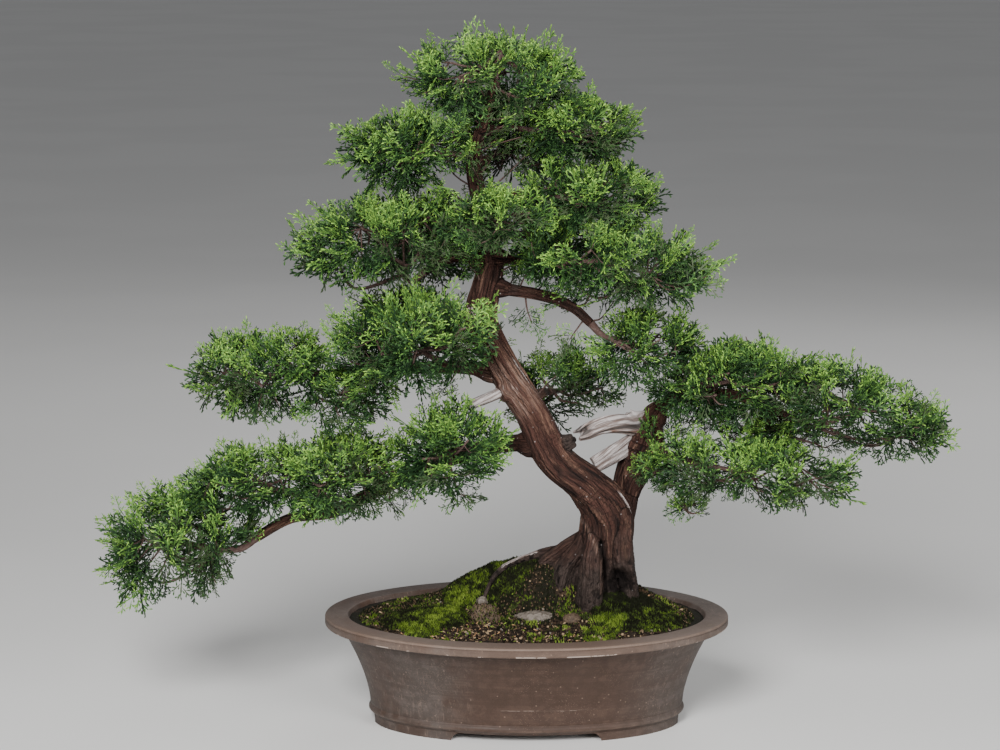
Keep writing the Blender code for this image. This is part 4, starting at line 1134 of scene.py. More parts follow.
def make_deadwood(look):
    """The three bleached stubs, grooved along their fibres; the upper one split into fibres that part and
    thin at its broken tip.
    """
    material = deadwood_material(look)
    for number, (name, row) in enumerate(DEADWOOD.items()):
        way, radii, flatness, count, parting, share, depth = row
        chance = np.random.default_rng(31 + number)
        limb = tapered(way, radii)
        fibres = plank_of(limb, flatness)
        if count:
            fibres = fibres_of(limb, flatness, count, parting, share, chance)
        if name == "jin_upper":
            fibres += fibres_of(tapered(*JIN_BLOCK), 0.8, 5, 0.1, share, chance)
        stub = fused([limb_mesh(fibre) for fibre in fibres], "bonsai_" + name, DEADWOOD_VOXEL, 3)
        points = points_of(stub.data)
        place = straightened(nearest_limb(points, [limb]), 14.0)
        grooves = noise_at(place / (1.0, 1.0, 14.0) / 0.0038)
        height = np.clip(0.5 + 1.1 * grooves, 0.0, 1.0)
        rise = (height - 0.6) * depth
        # The deeper a stub's grooves, the stronger their painted shade
        height = 0.5 + (height - 0.5) * depth / GROOVE_SHADE_DEPTH
        stain = np.zeros(len(points))
        if name == "jin_upper":
            line, half_width = JIN_STAIN
            stain = bell(line_gap(points, line), half_width)
            middle, radius, pit_depth = JIN_HOLLOW
            pit = bell(np.linalg.norm((points - middle) * (0.7, 0.5, 1.3), axis=1), radius)
            rise -= pit * pit_depth
            # Painted shade in the hollow: its relief drops to nothing
            height *= 1 - pit
        set_points(stub.data, points + normals_of(stub.data) * rise[:, None])
        for mark, values in (("grain", place), ("relief", height), ("stain", stain)):
            keep_values(stub.data, mark, values)
        settle(stub, (name,), material)


# Foliage

SPRAY_KINDS = 12
SLENDER_KINDS = 4
# Shoots, their reach and their size on a slender spray
SLENDER = (9, 0.27, 0.64)
LEADER_SIZE = 1.62
LEADER_FREEDOM = 0.24
INNER_SIZE = 1.30
BACK_SPACING = 1.12
SHOOTS_PER_SPRAY = 6
SHOOT_REACH = 0.42
SHOOT_ANGLES = (math.radians(56), math.radians(38))
SHOOT_THICKNESS = 0.061
LOBE_LENGTH = 0.172
LOBE_THICKNESS = 0.058
LONG_SHOOT = 0.36
LEAF_WIDEST = 0.72
LEAF_DEPTH = 0.85
LEADERS = 7
LEADER_POINTS = 5
TWIG_POINTS = 3
TWIG_DEPTH = (0.50, 1.20)
TWIG_LUMPS = 0.85
LUMP_FINENESS = 2.3
LEAST_SHARE = 0.30
# Leaf colours that a deep, mid, fresh or sage spray has at its root, along it and at its tips; the deep
# tone is painted shade and the fresh tone painted light
TONE_SLOTS = ((0, 0, 1), (0, 1, 2), (1, 2, 3), (0, 4, 1))
LEAF_CORNERS = 5
LEAF_FACES = np.array(((0, 3, 2), (0, 4, 3), (0, 2, 4), (1, 2, 3), (1, 3, 4), (1, 4, 2)))
SPRAY_LIMITS = (0.90, 1.14)
SHORTEST_SPRAY = 0.60
SMALL_MASS = 0.04
LIMB_CLEARANCE = 0.003
DEEP_IN_NEIGHBOUR = 0.70
FROND_ANGLES = (0.95, 0.62)
FROND_ROLL = 0.75
SAGE_PATCH_FINENESS = 14
TRUNK_MIDDLE = np.array((0.0, 0.0, 0.450))
LEAD_SHARE = 0.6

# Sprigs straight from the wood: the limb, the stretch of it in metres, how many and how far they reach
SPRIGS = (
    ("trunk", (0.505, 0.610), 16, 0.062),
    ("trunk", (0.400, 0.470), 5, 0.034),
    ("trunk", (0.335, 0.350), 2, 0.030),
    ("drop_right", (0.020, 0.080), 6, 0.030),
    ("drop_right", (0.085, 0.135), 4, 0.030),
    ("left", (0.030, 0.090), 3, 0.030),
    ("low_left", (0.150, 0.215), 5, 0.026),
    ("right", (0.018, 0.085), 9, 0.032),
    ("right_lower", (0.010, 0.070), 7, 0.034),
    ("back_low", (0.020, 0.050), 3, 0.028),
)


def leaf(root, tip, side, thickness):
    """Five corners of a blunt scale-leaf shoot: its root, its tip and three round its widest place."""
    over = unit(np.cross(tip - root, side)) * LEAF_DEPTH
    middle = root + (tip - root) * LEAF_WIDEST
    turns = math.pi / 2 + 2 * math.pi * np.arange(3) / 3
    ring = middle + (np.outer(np.cos(turns), side) + np.outer(np.sin(turns), over)) * thickness / 2
    return np.vstack((root, tip, ring))


def spray_shape(chance, shoots=SHOOTS_PER_SPRAY, shoot_reach=SHOOT_REACH, size=1.0):
    """A feathered spray of length one along X: points, faces and how far out each face is, 0 to 2."""
    leaves = []
    tones = []
    bend = chance.uniform(-0.10, 0.10, 2)

    def axis(t):
        return np.array((t, bend[0] * math.sin(3 * t), bend[1] * t * t))

    def add(root, tip, side, thickness, tone):
        leaves.append(leaf(root, tip, side, thickness))
        tones.append(tone)

    across = np.array((0.0, 1.0, 0.0))
    flat = np.array((0.0, 0.0, 1.0))
    add(axis(0.0), axis(0.62), across, SHOOT_THICKNESS * size, 0)
    add(axis(0.35), axis(1.0), across, SHOOT_THICKNESS * size, 1)
    for i in range(shoots):
        far = i / (shoots - 1)
        root = axis(0.12 + 0.70 * far)
        side = 1 if i % 2 else -1
        angle = SHOOT_ANGLES[0] + (SHOOT_ANGLES[1] - SHOOT_ANGLES[0]) * far + chance.uniform(-0.15, 0.15)
        lift = chance.uniform(-0.5, 0.5)
        reach = shoot_reach * (0.55 + 0.50 * math.sin(math.pi * (0.22 + 0.70 * far)))
        reach *= chance.uniform(0.8, 1.2)
        sideways = math.sin(angle)
        ahead = np.array((math.cos(angle), side * sideways * math.cos(lift), sideways * math.sin(lift)))
        wide = unit(np.cross(flat, ahead))
        add(root, root + ahead * reach, wide, SHOOT_THICKNESS * size, 1)
        for k in range(3 if reach > LONG_SHOOT else 2):
            place = root + ahead * reach * (0.34 + 0.24 * k)
            turn = (1 if k % 2 else -1) * math.radians(44)
            out = ahead * math.cos(turn) + wide * math.sin(turn) + flat * chance.uniform(-0.3, 0.3)
            tip = place + unit(out) * LOBE_LENGTH * size * chance.uniform(0.8, 1.2)
            add(place, tip, unit(np.cross(flat, out)), LOBE_THICKNESS * size, 2 if k else 1)
    for side in (-1, 1):
        out = np.array((1.0, side * 0.8, 0.0))
        root = axis(0.80 + 0.04 * side)
        add(root, root + unit(out) * LOBE_LENGTH * size, unit(np.cross(flat, out)), LOBE_THICKNESS * size, 2)
    points = np.concatenate(leaves)
    faces = copies(LEAF_FACES, LEAF_CORNERS, len(leaves))
    return points, faces, np.repeat(tones, len(LEAF_FACES))


def spiral_directions(count, highest, lowest, chance, loose):
    """Unit directions spread evenly by the golden angle, between two heights."""
    i = np.arange(count)
    even = highest + (lowest - highest) * (i + 0.5) / count
    height = np.clip(even + chance.uniform(-loose, loose, count), -1, 1)
    turn = GOLDEN_ANGLE * i + chance.uniform(-0.4, 0.4, count) + chance.uniform(0, 6.28)
    flat = np.sqrt(1 - height**2)
    return np.column_stack((np.cos(turn) * flat, np.sin(turn) * flat, height))


def tubes(paths, radii, sides):
    """Closed tapering tubes along many ways at once, as points and triangles."""
    count, steps, _ = paths.shape
    ahead = unit(np.gradient(paths, axis=1))
    whole = unit(paths[:, -1] - paths[:, 0])
    steep = np.abs(whole[:, 2:3]) > 0.8
    hint = np.where(steep, np.array((1.0, 0.0, 0.0)), UP)[:, None, :]
    across = unit(np.cross(hint, ahead))
    over = np.cross(ahead, across)
    turn = 2 * math.pi * np.arange(sides) / sides
    ring = across[:, :, None] * np.cos(turn)[:, None] + over[:, :, None] * np.sin(turn)[:, None]
    points = paths[:, :, None] + ring * radii[:, :, None, None]
    fan = np.arange(1, sides - 1)
    top = (steps - 1) * sides
    first_end = np.column_stack((0 * fan, fan + 1, fan))
    last_end = np.column_stack((top + 0 * fan, top + fan, top + fan + 1))
    pattern = np.concatenate(wall_faces(steps, sides) + [first_end, last_end])
    return points.reshape(-1, 3), copies(pattern, steps * sides, count)


def curves_by(starts, middles, ends, steps):
    """Smooth ways through three points each, as one array."""
    ways = np.stack((2 * starts - middles, starts, middles, ends, 2 * ends - middles), axis=1)
    t = (np.arange(steps) / steps)[None, :, None]
    parts = [smooth_part(*(ways[:, k + j, None] for j in range(4)), t) for k in range(2)]
    return np.concatenate(parts + [ends[:, None]], axis=1)


def clear_of_limbs(points, margin):
    """Whether each point keeps off every limb."""
    gap = np.full(len(points), np.inf)
    for limb in ALL_LIMBS:
        low = limb.centres.min(axis=0) - 0.03
        high = limb.centres.max(axis=0) + 0.03
        near = np.nonzero(np.all((points > low) & (points < high), axis=1))[0]
        if len(near):
            gap[near] = np.minimum(gap[near], limb.clearance(points[near]))
    return gap > margin


def outside_neighbours(space, points, depth=DEEP_IN_NEIGHBOUR):
    """Whether each point stays out of the thick of every other mass."""
    free = np.ones(len(points), bool)
    for other in SPACES.values():
        if other is not space:
            free &= other.share(points) > depth
    return free


class Growth:
    """The twigs and the places of the sprays of one mass, grown by a seeded rule."""

    def __init__(self, space, look):
        self.space = space
        self.chance = np.random.default_rng(zlib.crc32(space.name.encode()))
        self.small = max(space.half) < SMALL_MASS
        self.spray_length = look.spray_length * (0.62 if self.small else 1.0)
        carrier = CARRIERS[space.carrier]
        tip = carrier.centres[-1]
        heart = space.middle.copy()
        if space.name == "apex":
            heart = tip + np.array((0.0, 0.0, APEX_HEART))
        on_tip = space.name not in JOINING and (space.carrier != "trunk" or space.name == "apex")
        start = tip
        if not on_tip:
            start = carrier.centres[np.argmin(np.linalg.norm(carrier.centres - heart, axis=1))]
        reach = np.linalg.norm(heart - start)
        bend = start + carrier.ahead[-1] * reach * 0.35 if on_tip else (start + heart) / 2
        thick = carrier.radii[-1] if on_tip else 0.0045
        self.stem = curves_by(start[None], bend[None], heart[None], 5)
        self.stem_radii = np.linspace(thick, 0.0020, self.stem.shape[1])[None]
        away = heart - TRUNK_MIDDLE
        self.lead = unit(np.array((away[0], away[1], abs(away[2]) * 0.2 + 0.03)))
        if space.name == "apex":
            self.lead = UP
        self.grow_leaders()
        self.grow_twigs(look)
        self.place_sprays(look)

    def grow_leaders(self):
        """The main forks, from the stem to over half way out."""
        space, chance = self.space, self.chance
        count = 3 if self.small else LEADERS
        directions = spiral_directions(count, 0.75, -0.40, chance, 0.1)
        ends = space.place(directions, chance.uniform(0.50, 0.68, count))
        stem = self.stem[0]
        first = len(stem) // 2
        starts = stem[chance.integers(first, len(stem), count)]
        length = np.linalg.norm(ends - starts, axis=1)[:, None]
        sideways = chance.normal(0, 0.10, (count, 3)) * length
        middles = (starts + ends) / 2 + sideways - UP * length * 0.10
        self.leaders = curves_by(starts, middles, ends, LEADER_POINTS)
        taper = np.linspace(1.0, 0.55, self.leaders.shape[1])
        self.leader_radii = chance.uniform(0.0018, 0.0024, (count, 1)) * taper

    def grow_twigs(self, look):
        """The finer twigs, each from the nearest leader to close under the surface."""
        space, chance = self.space, self.chance
        spacing = look.twig_spacing * (BACK_SPACING if space.name.startswith("back") else 1.0)
        count = max(7, int(space.area() / spacing**2))
        directions = spiral_directions(count, 1.0, -1.0, chance, 0.03)
        surface = space.place(directions, np.ones(count))
        inward = space.middle - surface
        lumps = TWIG_LUMPS * noise_at(directions * LUMP_FINENESS + space.middle * 40)
        depth = self.spray_length * (chance.uniform(*TWIG_DEPTH, count) + lumps)
        shares = 1 - depth / np.linalg.norm(inward, axis=1)
        ends = space.place(directions, np.maximum(shares, LEAST_SHARE))
        keep = (directions[:, 2] > -0.55) | (chance.random(count) < 0.55)
        keep &= clear_of_limbs(ends, 0.006)
        keep &= outside_neighbours(space, ends)
        ends = ends[keep]
        forks = np.concatenate((self.leaders[:, 2:].reshape(-1, 3), self.stem[0, 4:]))
        distance = np.linalg.norm(ends[:, None] - forks[None], axis=2)
        inner = space.share(forks)[None] < space.share(ends)[:, None] - 0.05
        distance = np.where(inner, distance, distance + 1.0)
        starts = forks[np.argmin(distance, axis=1)]
        length = np.linalg.norm(ends - starts, axis=1)[:, None]
        drop = UP * length * 0.14 - space.outward(ends) * length * 0.05
        middles = starts + (ends - starts) * 0.55 - drop + chance.normal(0, 0.06, ends.shape) * length
        self.twigs = curves_by(starts, middles, ends, TWIG_POINTS)
        taper = np.linspace(1.0, 0.45, self.twigs.shape[1])
        self.twig_radii = chance.uniform(0.0010, 0.0014, (len(ends), 1)) * taper

    def place_sprays(self, look):
        """Sprays on both sides of each twig and at its end, and ones further back along it in the deep tone,
        painted shade.
        """
        space, chance = self.space, self.chance
        count = len(self.twigs)
        outer, inner = look.sprays_per_twig, look.inner_sprays_per_twig
        number = outer + inner
        order = np.tile(np.arange(number), count)
        total = len(order)
        twig = np.repeat(np.arange(count), number)
        rank = np.minimum(order / (outer - 1), 1.0)
        along = np.where(order < outer, 0.30 + 0.70 * rank, chance.uniform(0.05, 0.5, total))
        roots, heading, up, out = fronds_along(self.twigs, twig, order, along, chance)
        outward = unit(space.outward(roots) + self.lead * LEAD_SHARE)
        lean = FROND_ANGLES[0] + (FROND_ANGLES[1] - FROND_ANGLES[0]) * rank + chance.normal(0, 0.12, total)
        lean = np.where(order == outer - 1, 0.1, lean)
        ahead = heading * np.cos(lean)[:, None] + out * np.sin(lean)[:, None]
        ahead = unit(ahead + 0.30 * outward + 0.28 * UP)
        limit = chance.uniform(*SPRAY_LIMITS, count)[twig]
        length = self.spray_length * chance.uniform(0.80, 1.20, total)
        leading = (order == outer - 1) & ((outward[:, 2] > 0.25) | (outward[:, 0] * self.lead[0] > 0.40))
        length *= np.where(leading, LEADER_SIZE, np.where(order >= outer, INNER_SIZE, 1.0))
        limit = limit + LEADER_FREEDOM * leading
        reach = space.share(roots + ahead * length[:, None])
        length *= np.clip(1 - (reach - limit) * 1.6, SHORTEST_SPRAY, 1.0)
        tips = roots + ahead * length[:, None]
        reach = space.share(tips)
        middles = roots + ahead * length[:, None] * 0.55
        keep = (reach < limit + 0.12) & clear_of_limbs(middles, LIMB_CLEARANCE)
        keep &= clear_of_limbs(tips, LIMB_CLEARANCE) & outside_neighbours(space, tips)
        across = unit(np.cross(ahead, up + chance.normal(0, 0.45, ahead.shape)))
        # Painted light: sprays that face up and reach the outside take lighter greens, the others darker
        lit = 0.40 * outward[:, 2] + 0.25 * ahead[:, 2] + 1.6 * (reach - 0.93) + chance.normal(0, 0.22, total)
        tone = tones_by(lit, roots, chance)
        # Inner sprays take the deep tone as painted shade; leading sprays take the fresh one
        tone = np.where(order >= outer, 0, np.where(leading, 2, tone))
        kind = chance.integers(0, SPRAY_KINDS, total)
        kind = np.where(leading, SPRAY_KINDS + kind % SLENDER_KINDS, kind)
        self.sprays = [part[keep] for part in (roots, ahead, across, length, tone, kind)]


def fronds_along(twigs, twig, order, along, chance):
    """Where fronds leave their twigs, the twig's heading there, the way up from it, and the way out:
    to one side and the other by turns, rolled a little round the twig."""
    steps = twigs.shape[1] - 1
    at = np.clip(along * steps, 0, steps - 1e-6)
    low = at.astype(int)
    part = (at - low)[:, None]
    roots = twigs[twig, low] * (1 - part) + twigs[twig, low + 1] * part
    heading = unit(twigs[twig, low + 1] - twigs[twig, low])
    side = unit(np.cross(heading, UP + chance.normal(0, 0.6, (len(twigs), 3))[twig]))
    up = np.cross(side, heading)
    roll = chance.normal(0, FROND_ROLL, len(order))
    which = np.where(order % 2 == 0, 1.0, -1.0)
    out = side * (which * np.cos(roll))[:, None] + up * np.sin(roll)[:, None]
    return roots, heading, up, out


def tones_by(lit, roots, chance):
    """Which tone each spray takes by how lit it is, as painted light: 0 deep, 1 mid, 2 fresh or 3 sage, which
    comes in patches.
    """
    tone = np.where(lit > 0.30, 2, np.where(lit > -0.08, 1, 0))
    patch = noise_at(roots * SAGE_PATCH_FINENESS) + chance.normal(0, 0.15, len(lit))
    return np.where((tone < 2) & (patch > 0.12), 3, tone)


class Sprigs:
    """Short leafy shoots that grow straight from the trunk and the boughs."""

    def __init__(self, look):
        chance = np.random.default_rng(23)
        starts, ends = [], []
        for name, (first, last), count, reach in SPRIGS:
            limb = CARRIERS[name]
            for k in range(count):
                along = first + (last - first) * (k + chance.uniform(0.2, 0.8)) / count
                i = min(np.searchsorted(limb.along, along), len(limb.centres) - 1)
                turn = GOLDEN_ANGLE * k + chance.uniform(-0.4, 0.4)
                out = limb.across[i] * math.cos(turn) + limb.over[i] * math.sin(turn)
                starts.append(limb.centres[i] + out * limb.radii[i] * 0.8)
                way = unit(out + 0.35 * limb.ahead[i] + 0.35 * UP)
                ends.append(starts[-1] + way * reach * chance.uniform(0.7, 1.15))
        starts, ends = np.array(starts), np.array(ends)
        length = np.linalg.norm(ends - starts, axis=1)[:, None]
        middles = (starts + ends) / 2 + chance.normal(0, 0.08, ends.shape) * length - UP * length * 0.08
        self.twigs = curves_by(starts, middles, ends, TWIG_POINTS)
        self.twig_radii = np.full(len(ends), 0.0013)[:, None] * np.linspace(1.0, 0.5, self.twigs.shape[1])
        number = look.sprays_per_twig
        count = len(ends)
        twig = np.repeat(np.arange(count), number)
        order = np.tile(np.arange(number), count)
        total = len(order)
        rank = order / (number - 1)
        along = 0.35 + 0.65 * rank
        roots, heading, up, out = fronds_along(self.twigs, twig, order, along, chance)
        lean = FROND_ANGLES[0] + (FROND_ANGLES[1] - FROND_ANGLES[0]) * rank
        lean = np.where(order == number - 1, 0.1, lean)
        ahead = unit(heading * np.cos(lean)[:, None] + out * np.sin(lean)[:, None] + 0.2 * UP)
        size = look.spray_length * chance.uniform(0.65, 0.95, total)
        tips = roots + ahead * size[:, None]
        keep = clear_of_limbs(tips, LIMB_CLEARANCE) & clear_of_limbs((roots + tips) / 2, LIMB_CLEARANCE)
        across = unit(np.cross(ahead, up + chance.normal(0, 0.45, ahead.shape)))
        tone = tones_by(chance.normal(0.1, 0.25, total), roots, chance)
        kind = chance.integers(0, SPRAY_KINDS, total)
        self.sprays = [values[keep] for values in (roots, ahead, across, size, tone, kind)]


def spray_mesh(name, growth, shapes, materials):
    """All the sprays of one mass as one mesh, each face given its plain colour."""
    roots, ahead, roll, length, tone, kind = growth.sprays
    over = np.cross(ahead, roll)
    slots_by_tone = np.array(TONE_SLOTS)
    all_points, all_faces, all_slots = [], [], []
    first = 0
    for number, (points, faces, tones) in enumerate(shapes):
        chosen = np.nonzero(kind == number)[0]
        if not len(chosen):
            continue
        axes = np.stack((ahead[chosen], roll[chosen], over[chosen]), axis=1)
        placed = (points @ axes) * length[chosen, None, None] + roots[chosen, None]
        all_points.append(placed.reshape(-1, 3))
        all_faces.append(first + copies(faces, len(points), len(chosen)))
        all_slots.append(slots_by_tone[tone[chosen]][:, tones].ravel())
        first += placed.shape[0] * placed.shape[1]
    thing = mesh_object(name, np.concatenate(all_points), np.concatenate(all_faces))
    deal(thing, materials, np.concatenate(all_slots))
    return thing


def make_foliage(look, wood):
    """Every mass's sprays, a piece each, and all their twigs together."""
    chance = np.random.default_rng(5)
    shapes = [spray_shape(chance) for _ in range(SPRAY_KINDS)]
    shapes += [spray_shape(chance, *SLENDER) for _ in range(SLENDER_KINDS)]
    colours = (("deep leaf", look.deep_colour), ("green leaf", look.mid_colour),
               ("fresh leaf", look.fresh_and_lit_colour), ("leaf tip", look.tip_colour),
               ("sage leaf", look.sage_colour))
    materials = [plain_material(name, colour, 0.55) for name, colour in colours]
    growths = [Growth(space, look) for space in SPACES.values()]
    for growth in growths:
        name = growth.space.name
        sprays = spray_mesh("sprays_" + name, growth, shapes, materials)
        settle(sprays, ("foliage_" + name,))
    joining = [Growth(space, look) for space in JOINING_SPACES.values()]
    meshes = [spray_mesh("sprays_" + growth.space.name, growth, shapes, materials) for growth in joining]
    settle(join(meshes, "sprays_between"))
    growths += joining
    sprigs = Sprigs(look)
    settle(spray_mesh("sprays_on_limbs", sprigs, shapes, materials))
    parts = [(g.stem, g.stem_radii, 6) for g in growths]
    parts += [(g.leaders, g.leader_radii, 5) for g in growths]
    parts += [(g.twigs, g.twig_radii, 3) for g in growths + [sprigs]]
    all_points, all_faces = [], []
    first = 0
    for paths, radii, sides in parts:
        points, faces = tubes(paths, radii, sides)
        all_points.append(points)
        all_faces.append(faces + first)
        first += len(points)
    twigs = mesh_object("twigs", np.concatenate(all_points), np.concatenate(all_faces), True)
    settle(twigs, (), twig_material(wood))


ALL_LIMBS = [TRUNK, SECOND, CREEPING_ROOT] + list(BOUGH_LIMBS.values())
ALL_LIMBS += [tapered(way, radii) for way, radii, *_ in DEADWOOD.values()]


# Pot


def pot_wall(z):
    """Half sizes of the pot's outer wall at a height: an even curve that opens towards the lip."""
    rise = (z - WALL_FOOT_Z) / (POT_HEIGHT - LIP_DEPTH - WALL_FOOT_Z)
    opening = max(0.0, rise) ** WALL_CURVE
    return tuple(foot + (top - foot) * opening for foot, top in zip(WALL_FOOT, WALL_TOP))


def grown(half, extra):
    return (half[0] + extra, half[1] + extra)


def rounded(half, z, radius, start, end, steps=4):
    """Levels round an edge of the profile, about a middle at half and z, between two angles."""
    angles = [math.radians(start + (end - start) * i / steps) for i in range(steps + 1)]
    return [(grown(half, radius * math.cos(a)), z + radius * math.sin(a)) for a in angles]


def pot_profile():
    """Half sizes and heights of the pot's profile, from its base up and over the lip to the floor."""
    lip_z = POT_HEIGHT - LIP_DEPTH
    groove_down, groove_deep, groove_wide = LIP_GROOVE
    groove_z = POT_HEIGHT - groove_down
    levels = [(grown(BASE, -0.0010), BASE_Z), (BASE, BASE_Z + 0.0010)]
    levels += rounded(grown(BEAD, -0.0042), BEAD_Z, 0.0042, -62, 52, 8)
    levels += [(grown(WALL_FOOT, -0.0006), WALL_FOOT_Z - 0.0006), (WALL_FOOT, WALL_FOOT_Z + 0.0008)]
    heights = np.linspace(WALL_FOOT_Z, lip_z, 20)[1:-1]
    levels += [(pot_wall(z), z) for z in heights]
    levels += [(grown(pot_wall(lip_z), 0.0002), lip_z - 0.0016), (grown(pot_wall(lip_z), 0.0016), lip_z)]
    inset = grown(LIP_OUTER, -LIP_ROUNDING)
    levels += rounded(inset, lip_z + LIP_ROUNDING, LIP_ROUNDING, -90, 0)
    levels += [(LIP_OUTER, groove_z - groove_wide), (grown(LIP_OUTER, -groove_deep), groove_z)]
    levels += [(LIP_OUTER, groove_z + groove_wide)]
    levels += rounded(inset, POT_HEIGHT - LIP_ROUNDING, LIP_ROUNDING, 8, 90)
    middle = grown(LIP_OUTER, -LIP_WIDTH / 2)
    levels += [(middle, POT_HEIGHT - 0.0004)]
    inset = grown(LIP_OUTER, LIP_INNER_ROUNDING - LIP_WIDTH)
    levels += rounded(inset, POT_HEIGHT - LIP_INNER_ROUNDING, LIP_INNER_ROUNDING, 90, 180)
    levels += [(grown(pot_wall(z), -WALL_THICKNESS), z) for z in INSIDE_LEVELS]
    levels += [(grown(pot_wall(FLOOR_Z), -WALL_THICKNESS - FLOOR_ROUNDING), FLOOR_Z)]
    return levels


def oval_body(levels, name):
    """A body pulled up level by level from an oval, and closed at both ends."""
    deselect_all()
    bpy.ops.mesh.primitive_circle_add(vertices=POT_SEGMENTS, radius=1.0, fill_type="NOTHING")
    body = bpy.context.object
    body.name = name
    (wide, deep), height = levels[0]
    to_mode("EDIT")
    bpy.ops.transform.resize(value=(wide, deep, 1.0))
    bpy.ops.transform.translate(value=(0.0, 0.0, height))
    bpy.ops.mesh.edge_face_add()
    for (next_wide, next_deep), next_height in levels[1:]:
        lift = (0.0, 0.0, next_height - height)
        bpy.ops.mesh.extrude_region_move(TRANSFORM_OT_translate={"value": lift})
        bpy.ops.transform.resize(value=(next_wide / wide, next_deep / deep, 1.0))
        wide, deep, height = next_wide, next_deep, next_height
    bpy.ops.mesh.select_all(action="SELECT")
    bpy.ops.mesh.normals_make_consistent(inside=False)
    to_mode("OBJECT")
    return body


def foot_gap(half_width, half_depth, turned):
    """A block with rounded upper edges that parts two feet, wider at the ground."""
    deselect_all()
    bpy.ops.mesh.primitive_cube_add(size=2.0)
    block = bpy.context.object
    to_mode("EDIT")
    size = (half_width[0], half_depth, BASE_Z)
    bpy.ops.transform.resize(value=size)
    bpy.ops.mesh.select_all(action="DESELECT")
    to_mode("OBJECT")
    for vert in block.data.vertices:
        vert.select = vert.co.z > 0
    for edge in block.data.edges:
        edge.select = all(block.data.vertices[i].select for i in edge.vertices)
    to_mode("EDIT")
    bpy.ops.transform.resize(value=(half_width[1] / half_width[0], 1.0, 1.0))
    to_mode("OBJECT")
    for edge in block.data.edges:
        ends = [block.data.vertices[i].co for i in edge.vertices]
        edge.select = all(end.z > 0 for end in ends) and abs(ends[0].x - ends[1].x) < 1e-6
    to_mode("EDIT")
    bpy.ops.mesh.select_mode(type="EDGE")
    bpy.ops.mesh.bevel(offset=FOOT_CURL, segments=6, affect="EDGES")
    if turned:
        bpy.ops.mesh.select_all(action="SELECT")
        bpy.ops.transform.rotate(value=math.radians(90), orient_axis="Z", center_override=(0, 0, 0))
    bpy.ops.mesh.select_mode(type="VERT")
    to_mode("OBJECT")
    return block


def boolean(thing, other, operation):
    apply_modifier(thing, "BOOLEAN", object=other, operation=operation, solver="EXACT")
    bpy.data.objects.remove(other, do_unlink=True)


def oval_reach(points, half):
    """How far points lie outside an oval, seen from above."""
    share = np.hypot(points[:, 0] / half[0], points[:, 1] / half[1])
    from_middle = np.hypot(points[:, 0], points[:, 1])
    return from_middle - from_middle / np.maximum(share, 1e-6)


def make_pot(look):
    """The pot: flared wall, grooved lip, bead, four feet parted by rounded gaps, two drain holes."""
    pot = oval_body(pot_profile(), "bonsai_pot")
    outer = grown(BASE, -FOOT_INSET)
    ring = oval_body([(outer, 0.0), (outer, BASE_Z + 0.001)], "foot_ring")
    inner = grown(outer, -FOOT_RING_WIDTH)
    boolean(ring, oval_body([(inner, -0.01), (inner, BASE_Z + 0.01)], "hollow"), "DIFFERENCE")
    boolean(ring, foot_gap(FOOT_GAP_FRONT, BASE[1] * 2, False), "DIFFERENCE")
    boolean(ring, foot_gap(FOOT_GAP_END, BASE[0] * 2, True), "DIFFERENCE")
    boolean(pot, ring, "UNION")
    for side in (-1, 1):
        place = (side * DRAIN_X, 0.0, FLOOR_Z / 2)
        size = {"radius": DRAIN_RADIUS, "depth": FLOOR_Z * 2}
        bpy.ops.mesh.primitive_cylinder_add(vertices=48, location=place, **size)
        boolean(pot, bpy.context.object, "DIFFERENCE")
    points = points_of(pot.data)
    wear = np.zeros(len(points))
    lip_z = POT_HEIGHT - LIP_DEPTH
    for half, z, width, share in (
        (LIP_OUTER, POT_HEIGHT - 0.0006, 0.0017, 0.5),
        (LIP_OUTER, lip_z + 0.0006, 0.0019, 1.0),
        (BEAD, BEAD_Z - 0.0020, 0.0016, 0.6),
    ):
        gap = np.hypot(oval_reach(points, grown(half, -0.0004)), points[:, 2] - z)
        wear = np.maximum(wear, share * bell(gap, width))
    uneven = 0.0005 * noise_at(points * 11) * between(points[:, 2], 0.03, 0.10)
    points[:, 2] += uneven
    set_points(pot.data, points)
    keep_values(pot.data, "wear", wear)
    haze = np.maximum(between(points[:, 0], -0.030, -0.110), between(points[:, 0], 0.080, 0.170))
    keep_values(pot.data, "haze", haze)
    outside = (oval_reach(points, grown(LIP_OUTER, -LIP_WIDTH)) > -0.0002) & (points[:, 2] > lip_z - 0.0001)
    # Painted highlight: the lip is lighter towards its top and towards the front, none at the back
    low, high = LIP_PAINTED_HIGHLIGHT
    light = low + (high - low) * between(points[:, 2], POT_HEIGHT - 0.0040, POT_HEIGHT - 0.0015)
    keep_values(pot.data, "lip", outside * light * between(points[:, 1], 0.060, -0.140))
    choose(pot)
    bpy.ops.object.shade_smooth_by_angle(angle=math.radians(38))
    settle(pot, ("pot",), clay_material(look))


# Ground

SOIL_TOUCH = 0.00035
SOIL_RINGS = 56
SOIL_SEGMENTS = 168
SOIL_GRAIN = 0.0007
MOSS_RINGS = 22
MOSS_SEGMENTS = 84
MOSS_LUMPS = 0.0016
TUFTS_PER_PATCH = 6500
CARPET_TUFTS = 24000
TUFT_RADIUS = 0.00095
TUFT_ROOT = 0.0008
SPRIG_CLUMPS = 90
LITTER = 5200
LITTER_LENGTH = (0.0022, 0.0064)
LITTER_WIDTH = 0.36
LITTER_LEFT = 0.62
LITTER_RIGHT = 0.26
LITTER_ELSEWHERE = 0.03
TUFTS_PER_SPRIG = 26
TUFT_FACES = np.array(((0, 2, 1), (0, 1, 3), (1, 2, 3), (2, 0, 3)))
# The bare strip along the front: where it ends, and how ragged that border is
BARE_STRIP = (-0.040, -0.064)
BARE_STRIP_RAGGED = 0.030
